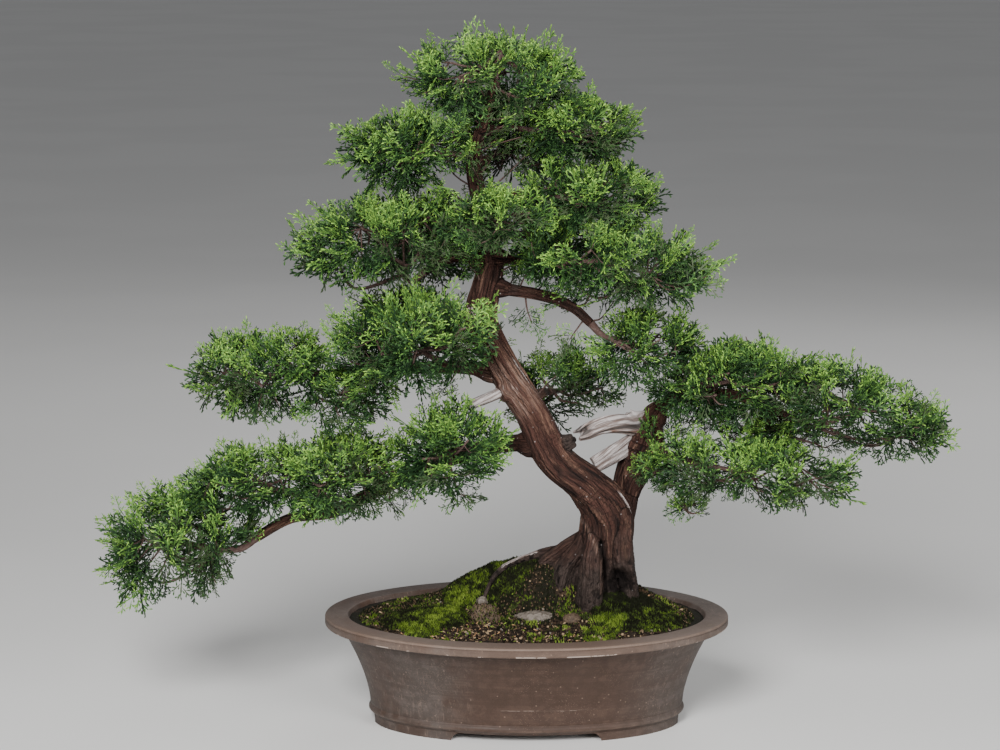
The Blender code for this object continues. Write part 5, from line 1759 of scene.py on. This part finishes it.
# The bank along the surface root: where it starts in x, how far it reaches in front, how much less
# steep it is behind, and how deep the root's middle lies in it
ROOT_BANK_FROM = 0.020
ROOT_BANK_REACH = 0.020
ROOT_BANK_BEHIND = 0.5
ROOT_BED = 0.0058
# The trunk's foot seen from above, how far off it things lie, and the shade round it
TRUNK_FOOT = (0.082, 0.012)
TRUNK_FOOT_REACH = 0.034
FOOT_SHADE = (0.090, 0.012)
FOOT_SHADE_REACH = (0.060, 0.040)
# Bands of bright moss seen from above, in x and y, and their half width
MOSS_BANDS = (((-0.122, -0.092), (-0.090, -0.010), (-0.072, 0.018)), ((0.078, -0.094), (0.094, -0.016)))
MOSS_BAND_WIDTH = 0.026
# Where moss turns from dark to green, bright and its lightest, and how light each cushion is
MOSS_STEPS = (-0.05, 0.24, 0.62)
MOSS_LIGHTNESS = {"moss_mound": -0.16, "moss_left": -0.16, "moss_right": -0.10}
MOSS_BAND_LIGHT = 0.62


def flat_at(x, y):
    """Places seen from above, as points at height zero."""
    return np.column_stack((x, y, np.zeros_like(x)))


def bump_of_soil(x, y, place):
    """A rounded rise in the soil: its middle, half widths and height."""
    middle_x, middle_y, wide, deep, height = place
    return height * np.exp(-(((x - middle_x) / wide) ** 2) - ((y - middle_y) / deep) ** 2)


def inside_edge(z):
    return grown(pot_wall(z), -WALL_THICKNESS)


def against_root(x, y, height):
    """Ground heaped up along the surface root, so that only the root's top shows."""
    centres = CREEPING_ROOT.centres[CREEPING_ROOT.centres[:, 0] < ROOT_BANK_FROM]
    behind = y[:, None] - centres[:, 1]
    behind = np.where(behind > 0, behind * ROOT_BANK_BEHIND, behind)
    gaps = np.hypot(x[:, None] - centres[:, 0], behind)
    nearest = np.argmin(gaps, axis=1)
    share = bell(gaps[np.arange(len(x)), nearest], ROOT_BANK_REACH)
    return height + np.maximum(centres[nearest, 2] - ROOT_BED - height, 0.0) * share


def soil_at(x, y):
    """Height of the soil at one place."""
    return float(soil_height(np.array([x]), np.array([y]))[0])


def soil_height(x, y):
    """Height of the soil at places seen from above: the solid soil's rule, heaped up round the roots."""
    edge = inside_edge(SOIL_EDGE_Z)
    reach = np.minimum(1.0, np.hypot(x / edge[0], y / edge[1]))
    mounds = sum(bump_of_soil(x, y, place) for place in (ROOT_RISE, ROOT_MOUND, LEFT_MOUND, FOOT_MOUND))
    rise = SOIL_CROWN * (1 - reach**2) + mounds
    fade = np.minimum(1.0, (1 - reach) / SOIL_EVEN_BAND)
    flat = flat_at(x, y)
    rough = SOIL_ROUGH_HEIGHT * noise_at(flat * SOIL_ROUGH_FINENESS)
    height = SOIL_EDGE_Z + (rise + rough) * (fade * (2 - fade))
    return against_root(x, y, height)


def ring_skin(rings, segments):
    """Triangles that join rings of points, with a middle point at each end."""
    s = np.arange(segments)
    n = (s + 1) % segments
    top = (rings - 1) * segments
    first = np.full(segments, rings * segments)
    ends = [np.column_stack((n, s, first)), np.column_stack((top + s, top + n, first + 1))]
    return np.concatenate(wall_faces(rings, segments) + ends)


def oval_ring(half, segments):
    turn = 2 * math.pi * np.arange(segments) / segments
    return np.column_stack((half[0] * np.cos(turn), half[1] * np.sin(turn)))


def in_band(x, y):
    """How far each place is in one of the bright bands of moss: 1 in its middle."""
    flat = flat_at(x, y)
    gaps = [line_gap(flat, line, (0, 1)) for line in MOSS_BANDS]
    ragged = 1 + 0.5 * noise_at(flat * 60)
    return bell(np.minimum(*gaps), MOSS_BAND_WIDTH * ragged)


def mossy(x, y):
    """How far moss has spread over the soil at each place: all over but for a ragged strip in front."""
    flat = flat_at(x, y)
    ragged = BARE_STRIP_RAGGED * noise_at(flat * 28)
    spread = np.maximum(1 - between(y + ragged, *BARE_STRIP), between(in_band(x, y), 0.45, 0.75))
    return spread * between(noise_at(flat * 50 + 5.0), -0.55, -0.15)


def make_soil(look):
    """The soil with its mounded, grainy top."""
    upper, lower = INSIDE_LEVELS
    floor_half = grown(inside_edge(FLOOR_Z), -FLOOR_ROUNDING - SOIL_TOUCH)
    share = (SOIL_EDGE_Z - upper) / (POT_HEIGHT - LIP_INNER_ROUNDING - upper)
    lip = np.array(grown(LIP_OUTER, -LIP_WIDTH))
    edge = np.array(inside_edge(upper)) * (1 - share) + lip * share + SOIL_INTO_WALL
    lower_half = grown(inside_edge(lower), -SOIL_TOUCH * 2)
    rings = [
        np.column_stack((oval_ring(half, SOIL_SEGMENTS), np.full(SOIL_SEGMENTS, z)))
        for half, z in ((floor_half, FLOOR_Z + SOIL_TOUCH), (lower_half, lower))
    ]
    for share in np.linspace(1.0, 0.02, SOIL_RINGS):
        flat = oval_ring((edge[0] * share, edge[1] * share), SOIL_SEGMENTS)
        height = soil_height(flat[:, 0], flat[:, 1])
        rings.append(np.column_stack((flat, height)))
    middle = ((0.0, 0.0, FLOOR_Z + SOIL_TOUCH), (0.0, 0.0, soil_at(0.0, 0.0)))
    points = np.concatenate(rings + [np.array(middle)])
    grain = noise_at(points * 330) + 0.8 * noise_at(points * 140)
    points[:, 2] += SOIL_GRAIN * grain * (points[:, 2] > upper + 0.01)
    soil = mesh_object("bonsai_soil", points, ring_skin(len(rings), SOIL_SEGMENTS), True)
    keep_values(soil.data, "mossy", mossy(points[:, 0], points[:, 1]))
    settle(soil, ("soil",), soil_material(look))


def icosahedron():
    deselect_all()
    bpy.ops.mesh.primitive_ico_sphere_add(subdivisions=1, radius=1.0)
    ball = bpy.context.object
    points = points_of(ball.data)
    faces = np.array([polygon.vertices[:] for polygon in ball.data.polygons])
    bpy.data.objects.remove(ball, do_unlink=True)
    return points, faces


def in_moss(x, y, margin=1.0):
    covered = np.zeros(len(x), bool)
    for middle_x, middle_y, wide, deep, _ in MOSS_PATCHES.values():
        covered |= np.hypot((x - middle_x) / wide, (y - middle_y) / deep) < margin
    return covered


def places_on_soil(count, chance, clear_of_moss):
    """Random places on the soil inside the pot, off the trunk and, where asked, off the moss."""
    edge = grown(inside_edge(INSIDE_LEVELS[0]), -0.004)
    turn = chance.uniform(0, 2 * math.pi, count)
    reach = np.sqrt(chance.uniform(0, 1, count))
    x = edge[0] * reach * np.cos(turn)
    y = edge[1] * reach * np.sin(turn)
    keep = np.hypot(x - TRUNK_FOOT[0], y - TRUNK_FOOT[1]) > TRUNK_FOOT_REACH
    if clear_of_moss:
        keep &= ~in_moss(x, y, 0.93)
    return x[keep], y[keep]


def make_granules(look):
    """Loose granules on the soil: tan, dark and reddish, each a broken little stone."""
    chance = np.random.default_rng(8)
    x, y = places_on_soil(look.granules, chance, True)
    keep = chance.random(len(x)) > 0.86 * mossy(x, y)
    x, y = x[keep], y[keep]
    count = len(x)
    shape, faces = icosahedron()
    size = 0.0007 + 0.0017 * chance.random(count) ** 2.4
    dents = 1 + chance.uniform(-0.28, 0.28, (count, len(shape), 1))
    squash = chance.uniform(0.4, 1.1, (count, 1, 3))
    spin = np.linalg.qr(chance.normal(0, 1, (count, 3, 3)))[0]
    spin *= np.linalg.det(spin)[:, None, None]
    middle = np.column_stack((x, y, soil_height(x, y) + size * 0.35))
    points = (shape[None] * dents * squash) @ spin * size[:, None, None] + middle[:, None]
    granules = mesh_object("granules", points.reshape(-1, 3), copies(faces, len(shape), count))
    colours = (("tan granule", look.granule_colour), ("dark granule", look.soil_colour),
               ("brown granule", look.crumb_colour), ("grey granule", look.stone_colour))
    materials = [plain_material(name, colour, 0.85) for name, colour in colours]
    slots = np.searchsorted((0.15, 0.60, 0.97), chance.random(count))
    deal(granules, materials, slots, len(faces))
    settle(granules)


def make_litter(look):
    """Fallen scale leaves and flakes of bark, mostly on the bare strip and round the clump."""
    chance = np.random.default_rng(29)
    x, y = places_on_soil(LITTER, chance, False)
    near_clump = between(np.hypot(x - CLUMP[0], y - CLUMP[1] + 0.012), 0.036, 0.020)
    sideways = LITTER_RIGHT + (LITTER_LEFT - LITTER_RIGHT) * between(x, 0.000, -0.045)
    strip = between(y, -0.060, -0.080) * sideways
    share = np.maximum(strip, 0.75 * near_clump) * (1 - in_band(x, y))
    share = share * between(noise_at(flat_at(x, y) * 90), -0.35, 0.15) + LITTER_ELSEWHERE
    keep = chance.random(len(x)) < share
    x, y = x[keep], y[keep]
    count = len(x)
    ahead = unit(np.column_stack((chance.normal(0, 1, (count, 2)), chance.normal(0.15, 0.3, count))))
    side = unit(np.cross(UP, ahead))
    length = chance.uniform(*LITTER_LENGTH, (count, 1, 1))
    shape = leaf(np.zeros(3), np.array((1.0, 0.0, 0.0)), np.array((0.0, 1.0, 0.0)), LITTER_WIDTH)
    axes = np.stack((ahead, side, np.cross(ahead, side)), axis=1)
    middles = np.column_stack((x, y, soil_height(x, y) + 0.0010))
    points = (shape @ axes) * length + middles[:, None]
    litter = mesh_object("litter", points.reshape(-1, 3), copies(LEAF_FACES, LEAF_CORNERS, count))
    materials = [plain_material("straw", look.straw_colour, 0.8)]
    materials += [bpy.data.materials[name] for name in ("tan granule", "moss brown", "moss tip")]
    slots = np.searchsorted((0.22, 0.50, 0.80), chance.random(count))
    deal(litter, materials, slots, len(LEAF_FACES))
    settle(litter)


def tufts(middles, height, width, chance):
    """A closed three-sided spike at each place, leaning its own way."""
    count = len(middles)
    turn = chance.uniform(0, 2 * math.pi, (count, 1)) + np.array((0, 2.1, 4.2))
    wide = width * chance.uniform(0.7, 1.3, (count, 1))
    base = np.stack((np.cos(turn) * wide, np.sin(turn) * wide, np.full_like(turn, -TUFT_ROOT)), axis=2)
    lean = chance.normal(0, 0.45, (count, 3))
    lean[:, 2] = 1.0
    tip = unit(lean) * (height * chance.uniform(0.55, 1.25, (count, 1)))
    points = np.concatenate((base, tip[:, None]), axis=1) + middles[:, None]
    return points.reshape(-1, 3), copies(TUFT_FACES, 4, count)


def moss_height(place, x, y):
    """Height of a cushion over the soil: domed, lumpy, thinning out at its ragged edge."""
    middle_x, middle_y, wide, deep, thick = place
    reach = np.hypot((x - middle_x) / wide, (y - middle_y) / deep)
    flat = flat_at(x, y)
    lumps = MOSS_LUMPS * (noise_at(flat * 95) + 0.6 * noise_at(flat * 230))
    dome = np.sqrt(np.clip(1 - (reach * (1 + MOSS_RAGGED * noise_at(flat * 60))) ** 2.5, 0.0, 1.0))
    return dome * thick + lumps * np.clip(dome * 2, 0, 1)


def tuft_height(look, middles):
    """Height of the tuft at each place, taller in the bright bands."""
    return look.moss_height * (1 + 0.5 * in_band(middles[:, 0], middles[:, 1]))[:, None]


def by_trunk(points):
    """How close to the trunk's foot a place is, for the painted shade round it: 1 against it, 0 a little way
    off.
    """
    return between(np.hypot(*(points[:, :2] - FOOT_SHADE).T), *FOOT_SHADE_REACH)


def make_moss(look):
    """Three cushions of moss, each a lumpy dome set with fine tufts."""
    colours = (("moss dark", look.moss_dark_colour, 0.85), ("moss green", look.moss_green_colour, 0.8),
               ("moss bright", look.moss_bright_colour, 0.8), ("moss tip", look.moss_tip_colour, 0.8))
    materials = [plain_material(*row) for row in colours]
    for number, (name, place) in enumerate(MOSS_PATCHES.items()):
        chance = np.random.default_rng(50 + number)
        dark_first = name != "moss_left"
        middle_x, middle_y, wide, deep, _ = place
        rings = []
        for share in np.concatenate(((0.9,), np.linspace(1.04, 0.03, MOSS_RINGS))):
            flat = oval_ring((wide * share, deep * share), MOSS_SEGMENTS) + (middle_x, middle_y)
            under = 0.010 if not rings else 0.0
            height = soil_height(*flat.T) + moss_height(place, *flat.T) - 0.0005
            rings.append(np.column_stack((flat, height - under)))
        top = np.array((middle_x, middle_y, rings[-1][:, 2].mean()))
        points = np.concatenate(rings + [np.stack((top - (0, 0, 0.016), top))])
        body = mesh_object("bonsai_" + name, points, ring_skin(len(rings), MOSS_SEGMENTS), True)
        settle(body, (name,), moss_material(look, dark_first))
        turn = chance.uniform(0, 2 * math.pi, TUFTS_PER_PATCH)
        reach = np.sqrt(chance.uniform(0, 1.06, TUFTS_PER_PATCH))
        x = middle_x + wide * reach * np.cos(turn)
        y = middle_y + deep * reach * np.sin(turn)
        height = soil_height(x, y) + moss_height(place, x, y)
        middles = np.column_stack((x, y, height))
        middles = middles[clear_of_limbs(middles, -0.001)]
        grown_up = tufts(middles, tuft_height(look, middles), TUFT_RADIUS, chance)
        tuft = mesh_object(name + "_tufts", *grown_up)
        patchy = 0.6 * noise_at(middles * 55) + 0.7 * noise_at(middles * 170)
        patchy += chance.normal(0, 0.20, len(middles))
        # Painted shade: moss darker near the trunk's foot
        patchy += MOSS_LIGHTNESS[name] - 0.6 * by_trunk(middles)
        patchy += MOSS_BAND_LIGHT * in_band(middles[:, 0], middles[:, 1])
        deal(tuft, materials, np.searchsorted(MOSS_STEPS, patchy), len(TUFT_FACES))
        settle(tuft)
    make_carpet(look, materials)
    make_moss_sprigs(look, materials)


def make_carpet(look, materials):
    """Low moss between the cushions, thin and dark, with brighter patches."""
    chance = np.random.default_rng(64)
    x, y = places_on_soil(CARPET_TUFTS, chance, True)
    keep = chance.random(len(x)) < mossy(x, y)
    x, y = x[keep], y[keep]
    middles = np.column_stack((x, y, soil_height(x, y) + 0.0006))
    middles = middles[clear_of_limbs(middles, -0.001)]
    low = 0.8 * tuft_height(look, middles)
    carpet = mesh_object("moss_carpet", *tufts(middles, low, TUFT_RADIUS * 1.15, chance))
    brown = plain_material("moss brown", look.clump_colour, 0.9)
    patchy = 0.6 * noise_at(middles * 42 + 3.0) + 0.6 * noise_at(middles * 170)
    patchy += chance.normal(0, 0.18, len(middles))
    glow = in_band(middles[:, 0], middles[:, 1])
    # Painted shade: carpet darker near the trunk's foot
    slots = np.searchsorted(MOSS_STEPS, patchy - 0.20 - 0.5 * by_trunk(middles) + MOSS_BAND_LIGHT * glow)
    browned = chance.random(len(slots)) < (0.16 + 0.5 * by_trunk(middles)) * (1 - glow)
    slots = np.where((slots < 2) & browned, 4, slots)
    deal(carpet, (*materials, brown), slots, len(TUFT_FACES))
    settle(carpet)


def make_moss_sprigs(look, materials):
    """Small clumps of moss that spring up between the granules."""
    chance = np.random.default_rng(77)
    x, y = places_on_soil(SPRIG_CLUMPS, chance, True)
    clump = np.repeat(np.arange(len(x)), TUFTS_PER_SPRIG)
    wide = chance.uniform(0.0015, 0.0060, len(x))[clump]
    px = x[clump] + chance.normal(0, 1, len(clump)) * wide
    py = y[clump] + chance.normal(0, 1, len(clump)) * wide
    edge = grown(inside_edge(INSIDE_LEVELS[0]), -0.003)
    inside = np.hypot(px / edge[0], py / edge[1]) < 1
    px, py, clump = px[inside], py[inside], clump[inside]
    middles = np.column_stack((px, py, soil_height(px, py)))
    tall = look.moss_height * 1.5
    sprigs = mesh_object("moss_sprigs", *tufts(middles, tall, TUFT_RADIUS * 1.4, chance))
    kind = np.searchsorted((0.20, 0.50, 0.85), chance.random(len(x)))[clump]
    deal(sprigs, materials, kind, len(TUFT_FACES))
    settle(sprigs)


def bedded(name, place, uneven, shows):
    """An uneven ball bedded in the soil, the points of its skin, and the soil's height there."""
    middle_x, middle_y, wide, deep, high = place
    deselect_all()
    bpy.ops.mesh.primitive_ico_sphere_add(subdivisions=5, radius=1.0)
    thing = bpy.context.object
    thing.name = name
    ball = points_of(thing.data)
    bed = soil_at(middle_x, middle_y)
    points = ball * (wide, deep, high) * uneven(ball)[:, None] + (middle_x, middle_y, bed + high * shows)
    set_points(thing.data, points)
    thing.data.polygons.foreach_set("use_smooth", np.ones(len(thing.data.polygons), bool))
    return thing, points, bed


def make_stones(look):
    """Three worn stones, half bedded in the soil."""
    colours = {"stone_flat": look.stone_colour, "stone_round": look.stone_colour,
               "stone_tan": look.clump_colour}
    for seed, (name, place) in enumerate(STONES.items()):

        def uneven(ball):
            worn = 1 + STONE_WORN * noise_at(ball * STONE_WEAR_FINENESS + (seed * 7.0, 0.0, 0.0))
            return worn * (1 + 0.10 * noise_at(ball * 4.0 + seed) + 0.04 * noise_at(ball * 12.0))

        stone, _, _ = bedded("bonsai_" + name, place, uneven, STONE_SHOWS[name])
        settle(stone, (name,), stone_material(name + " face", colours[name], look))
    make_clump(look)


def clump_lumps(ball):
    return 1 + 0.16 * noise_at(ball * 2.2 + 4.0) + 0.10 * noise_at(ball * 6.0) + 0.05 * noise_at(ball * 15.0)


def make_clump(look):
    """A lump of old root and crumbs that the round stone rests on, with moss on it."""
    clump, points, bed = bedded("root_clump", CLUMP, clump_lumps, CLUMP_SHOWS)
    settle(clump, (), stone_material("clump face", look.clump_colour, look))
    chance = np.random.default_rng(91)
    upper = points[points[:, 2] > bed + 0.001]
    places = upper[chance.integers(0, len(upper), CLUMP_TUFTS)]
    moss = mesh_object("clump_moss", *tufts(places, look.moss_height * 0.8, TUFT_RADIUS, chance))
    names = ("moss dark", "moss green", "moss brown", "moss bright")
    materials = [bpy.data.materials[name] for name in names]
    slots = np.searchsorted((0.42, 0.62, 0.84), chance.random(len(places)))
    deal(moss, materials, slots, len(TUFT_FACES))
    settle(moss)


# Stage

FLOOR_SIZE = 90.0
# Lights: place in the pot's frame, size and share of the main light's power
LIGHTS = {
    "key": ((-0.7, -2.9, 1.9), 1.3, 1.0),
    "fill": ((1.9, -2.6, 1.3), 1.8, 0.45),
    "back": ((0.8, 2.3, 2.0), 1.6, 0.10),
}
AIM = (0.0, 0.0, 0.36)


def make_stage(look):
    """The pale floor, soft lights, an even grey sky, and the photograph's camera."""
    deselect_all()
    bpy.ops.mesh.primitive_plane_add(size=FLOOR_SIZE)
    floor = bpy.context.object
    floor.name = "floor"
    floor.data.materials.append(floor_material(look))
    world = bpy.data.worlds.new("studio")
    world.use_nodes = True
    sky = world.node_tree.nodes["Background"]
    sky.inputs["Color"].default_value = look.sky_colour
    sky.inputs["Strength"].default_value = look.sky_strength
    bpy.context.scene.world = world
    for name, (place, size, share) in LIGHTS.items():
        bpy.ops.object.light_add(type="AREA", location=Vector(place) + Vector(PLACE))
        light = bpy.context.object
        light.name = name
        light.data.shape = "DISK"
        light.data.size = size
        light.data.energy = look.key_power * share
        towards = Vector(AIM) - Vector(place)
        light.rotation_euler = towards.to_track_quat("-Z", "Y").to_euler()
    bpy.ops.object.camera_add(location=Vector(EYE) + Vector(PLACE))
    camera = bpy.context.object
    camera.rotation_euler = [math.radians(turn) for turn in CAMERA_TURN]
    camera.data.lens = LENS
    camera.data.sensor_width = SENSOR
    camera.data.sensor_fit = "HORIZONTAL"
    bpy.context.scene.camera = camera


# Settings


def colour_setting(name, description, default):
    return bpy.props.FloatVectorProperty(
        name=name, description=description, subtype="COLOR", size=4, min=0.0, max=1.0, default=(*default, 1.0)
    )


def length_setting(name, description, default):
    return bpy.props.FloatProperty(
        name=name, description=description, default=default, min=0.0, precision=4, unit="LENGTH"
    )


def number_setting(name, description, default):
    return bpy.props.IntProperty(name=name, description=description, default=default, min=0)


class BonsaiWood(bpy.types.PropertyGroup):
    """Bark and deadwood."""

    bark_relief: length_setting("Bark relief", "Height of the ridges on the trunk", 0.0019)
    bark_colour: colour_setting("Bark", "Reddish-brown bark", (0.056, 0.0238, 0.0172))
    shade_colour: colour_setting("Shaded bark", "Purple-brown bark in patches", (0.028, 0.0135, 0.0106))
    ridge_colour: colour_setting("Ridges", "Tan crests of the bark", (0.160, 0.087, 0.059))
    # Furrows also take the painted shade in the low parts of the bark's relief
    furrow_and_shade_colour: colour_setting("Furrows", "Bottoms of the furrows", (0.006, 0.0035, 0.003))
    # The foot colour is also the painted shade in the deadwood's grooves and hollow
    foot_and_shade_colour: colour_setting("Foot", "Old grey bark near the ground", (0.030, 0.0222, 0.0186))
    deadwood_colour: colour_setting("Deadwood", "Bleached fibres", (0.520, 0.470, 0.455))
    weathered_colour: colour_setting("Weathered", "Greyer fibres", (0.150, 0.108, 0.092))


class BonsaiFoliage(bpy.types.PropertyGroup):
    """Sprays of scale leaves."""

    spray_length: length_setting("Spray length", "Length of a full spray", 0.031)
    twig_spacing: length_setting("Twig spacing", "Distance between twig ends", 0.0395)
    sprays_per_twig: number_setting("Sprays per twig", "Sprays along a twig and at its end", 7)
    inner_sprays_per_twig: number_setting("Inner sprays", "Dark sprays further back on a twig", 2)
    deep_colour: colour_setting("Deep green", "Shaded blue-green leaves", (0.012, 0.032, 0.011))
    mid_colour: colour_setting("Green", "Leaves of the outer shoots", (0.040, 0.094, 0.0255))
    fresh_and_lit_colour: colour_setting("Fresh green", "Lit young leaves", (0.100, 0.208, 0.042))
    tip_colour: colour_setting("Tips", "Yellow-green tips", (0.240, 0.420, 0.070))
    sage_colour: colour_setting("Sage", "Dull leaves on the underside", (0.060, 0.084, 0.040))


class BonsaiPot(bpy.types.PropertyGroup):
    """Unglazed stoneware."""

    clay_colour: colour_setting("Clay", "Brown-grey clay", (0.062, 0.0365, 0.0260))
    haze_colour: colour_setting("Haze", "Grey lime haze near the ends", (0.080, 0.063, 0.055))
    # The worn colour is also the painted highlight on the lip
    worn_and_highlight_colour: colour_setting("Worn", "Rubbed edges and specks", (0.260, 0.185, 0.145))
    chip_colour: colour_setting("Chips", "Pale chips on the edges", (0.400, 0.325, 0.280))


class BonsaiGround(bpy.types.PropertyGroup):
    """Soil, granules, moss and stones."""

    granules: number_setting("Granules", "Loose granules tried on the soil", 5200)
    moss_height: length_setting("Moss height", "Height of a moss tuft", 0.0023)
    soil_colour: colour_setting("Soil", "Dark damp soil", (0.0080, 0.0050, 0.0032))
    crumb_colour: colour_setting("Crumbs", "Brown crumbs", (0.055, 0.034, 0.020))
    clump_colour: colour_setting("Clump", "Brown lump of old root", (0.100, 0.064, 0.038))
    granule_colour: colour_setting("Granules", "Tan clay granules", (0.270, 0.190, 0.115))
    straw_colour: colour_setting("Straw", "Fallen leaves gone orange-brown", (0.330, 0.190, 0.095))
    moss_dark_colour: colour_setting("Dark moss", "Dark green moss", (0.0066, 0.0074, 0.0024))
    moss_green_colour: colour_setting("Green moss", "Middle green moss", (0.0250, 0.0370, 0.0070))
    moss_bright_colour: colour_setting("Bright moss", "Yellow-green moss", (0.0600, 0.0960, 0.0080))
    moss_tip_colour: colour_setting("Moss tips", "Lightest moss", (0.135, 0.190, 0.024))
    stone_colour: colour_setting("Stone", "Light grey stone", (0.160, 0.133, 0.110))


class BonsaiStage(bpy.types.PropertyGroup):
    """Floor, sky and lights."""

    floor_colour: colour_setting("Floor", "Pale matt floor", (0.800, 0.790, 0.770))
    sky_colour: colour_setting("Sky", "Even light from all round", (0.95, 0.97, 1.0))
    sky_strength: bpy.props.FloatProperty(name="Sky strength", description="Strength of the even light",
                                          default=0.22, min=0.0)
    key_power: bpy.props.FloatProperty(name="Main light", description="Power of the main light in watts",
                                       default=165.0, min=0.0, unit="POWER")


# Operators


class BONSAI_OT_trunk(bpy.types.Operator):
    """Model the trunk, the second trunk and the roots, with their bark"""

    bl_idname = "bonsai.trunk"
    bl_label = "Trunk"

    def execute(self, context):
        make_trunk(context.scene.bonsai_wood)
        return {"FINISHED"}


class BONSAI_OT_boughs(bpy.types.Operator):
    """Model the boughs, with their bark"""

    bl_idname = "bonsai.boughs"
    bl_label = "Boughs"

    def execute(self, context):
        make_boughs(context.scene.bonsai_wood)
        return {"FINISHED"}


class BONSAI_OT_deadwood(bpy.types.Operator):
    """Model the three bleached stubs"""

    bl_idname = "bonsai.deadwood"
    bl_label = "Deadwood"

    def execute(self, context):
        make_deadwood(context.scene.bonsai_wood)
        return {"FINISHED"}


class BONSAI_OT_foliage(bpy.types.Operator):
    """Grow the twigs and the sprays of every mass"""

    bl_idname = "bonsai.foliage"
    bl_label = "Foliage"

    def execute(self, context):
        make_foliage(context.scene.bonsai_foliage, context.scene.bonsai_wood)
        return {"FINISHED"}


class BONSAI_OT_pot(bpy.types.Operator):
    """Model the stoneware pot"""

    bl_idname = "bonsai.pot"
    bl_label = "Pot"

    def execute(self, context):
        make_pot(context.scene.bonsai_pot)
        return {"FINISHED"}


class BONSAI_OT_ground(bpy.types.Operator):
    """Model the soil, its granules, the moss and the stones"""

    bl_idname = "bonsai.ground"
    bl_label = "Ground"

    def execute(self, context):
        look = context.scene.bonsai_ground
        make_soil(look)
        make_granules(look)
        make_moss(look)
        make_litter(look)
        make_stones(look)
        return {"FINISHED"}


class BONSAI_OT_stage(bpy.types.Operator):
    """Set up the floor, the lights and the camera"""

    bl_idname = "bonsai.stage"
    bl_label = "Stage"

    def execute(self, context):
        make_stage(context.scene.bonsai_stage)
        return {"FINISHED"}


OPERATORS = (
    BONSAI_OT_trunk,
    BONSAI_OT_boughs,
    BONSAI_OT_deadwood,
    BONSAI_OT_foliage,
    BONSAI_OT_pot,
    BONSAI_OT_ground,
    BONSAI_OT_stage,
)
SETTINGS = {
    "bonsai_wood": BonsaiWood,
    "bonsai_foliage": BonsaiFoliage,
    "bonsai_pot": BonsaiPot,
    "bonsai_ground": BonsaiGround,
    "bonsai_stage": BonsaiStage,
}


class BONSAI_PT_panel(bpy.types.Panel):
    """The steps that model the bonsai, and the settings of each"""

    bl_label = "Bonsai"
    bl_idname = "BONSAI_PT_panel"
    bl_space_type = "VIEW_3D"
    bl_region_type = "UI"
    bl_category = "Bonsai"

    def draw(self, context):
        for operator in OPERATORS:
            self.layout.operator(operator.bl_idname)
        for name, group in SETTINGS.items():
            box = self.layout.box()
            box.label(text=group.__doc__)
            for setting in group.__annotations__:
                box.prop(getattr(context.scene, name), setting)


def register():
    for group in SETTINGS.values():
        bpy.utils.register_class(group)
    for name, group in SETTINGS.items():
        setattr(bpy.types.Scene, name, bpy.props.PointerProperty(type=group))
    for operator in OPERATORS:
        bpy.utils.register_class(operator)
    bpy.utils.register_class(BONSAI_PT_panel)


def unregister():
    bpy.utils.unregister_class(BONSAI_PT_panel)
    for operator in reversed(OPERATORS):
        bpy.utils.unregister_class(operator)
    for name in SETTINGS:
        delattr(bpy.types.Scene, name)
    for group in reversed(SETTINGS.values()):
        bpy.utils.unregister_class(group)


def corners(box):
    return [list(corner) for corner in box]


def main():
    register()
    bpy.ops.bonsai.trunk()
    bpy.ops.bonsai.boughs()
    bpy.ops.bonsai.deadwood()
    bpy.ops.bonsai.foliage()
    bpy.ops.bonsai.pot()
    bpy.ops.bonsai.ground()
    bpy.ops.bonsai.stage()


if __name__ == "__main__":
    main()
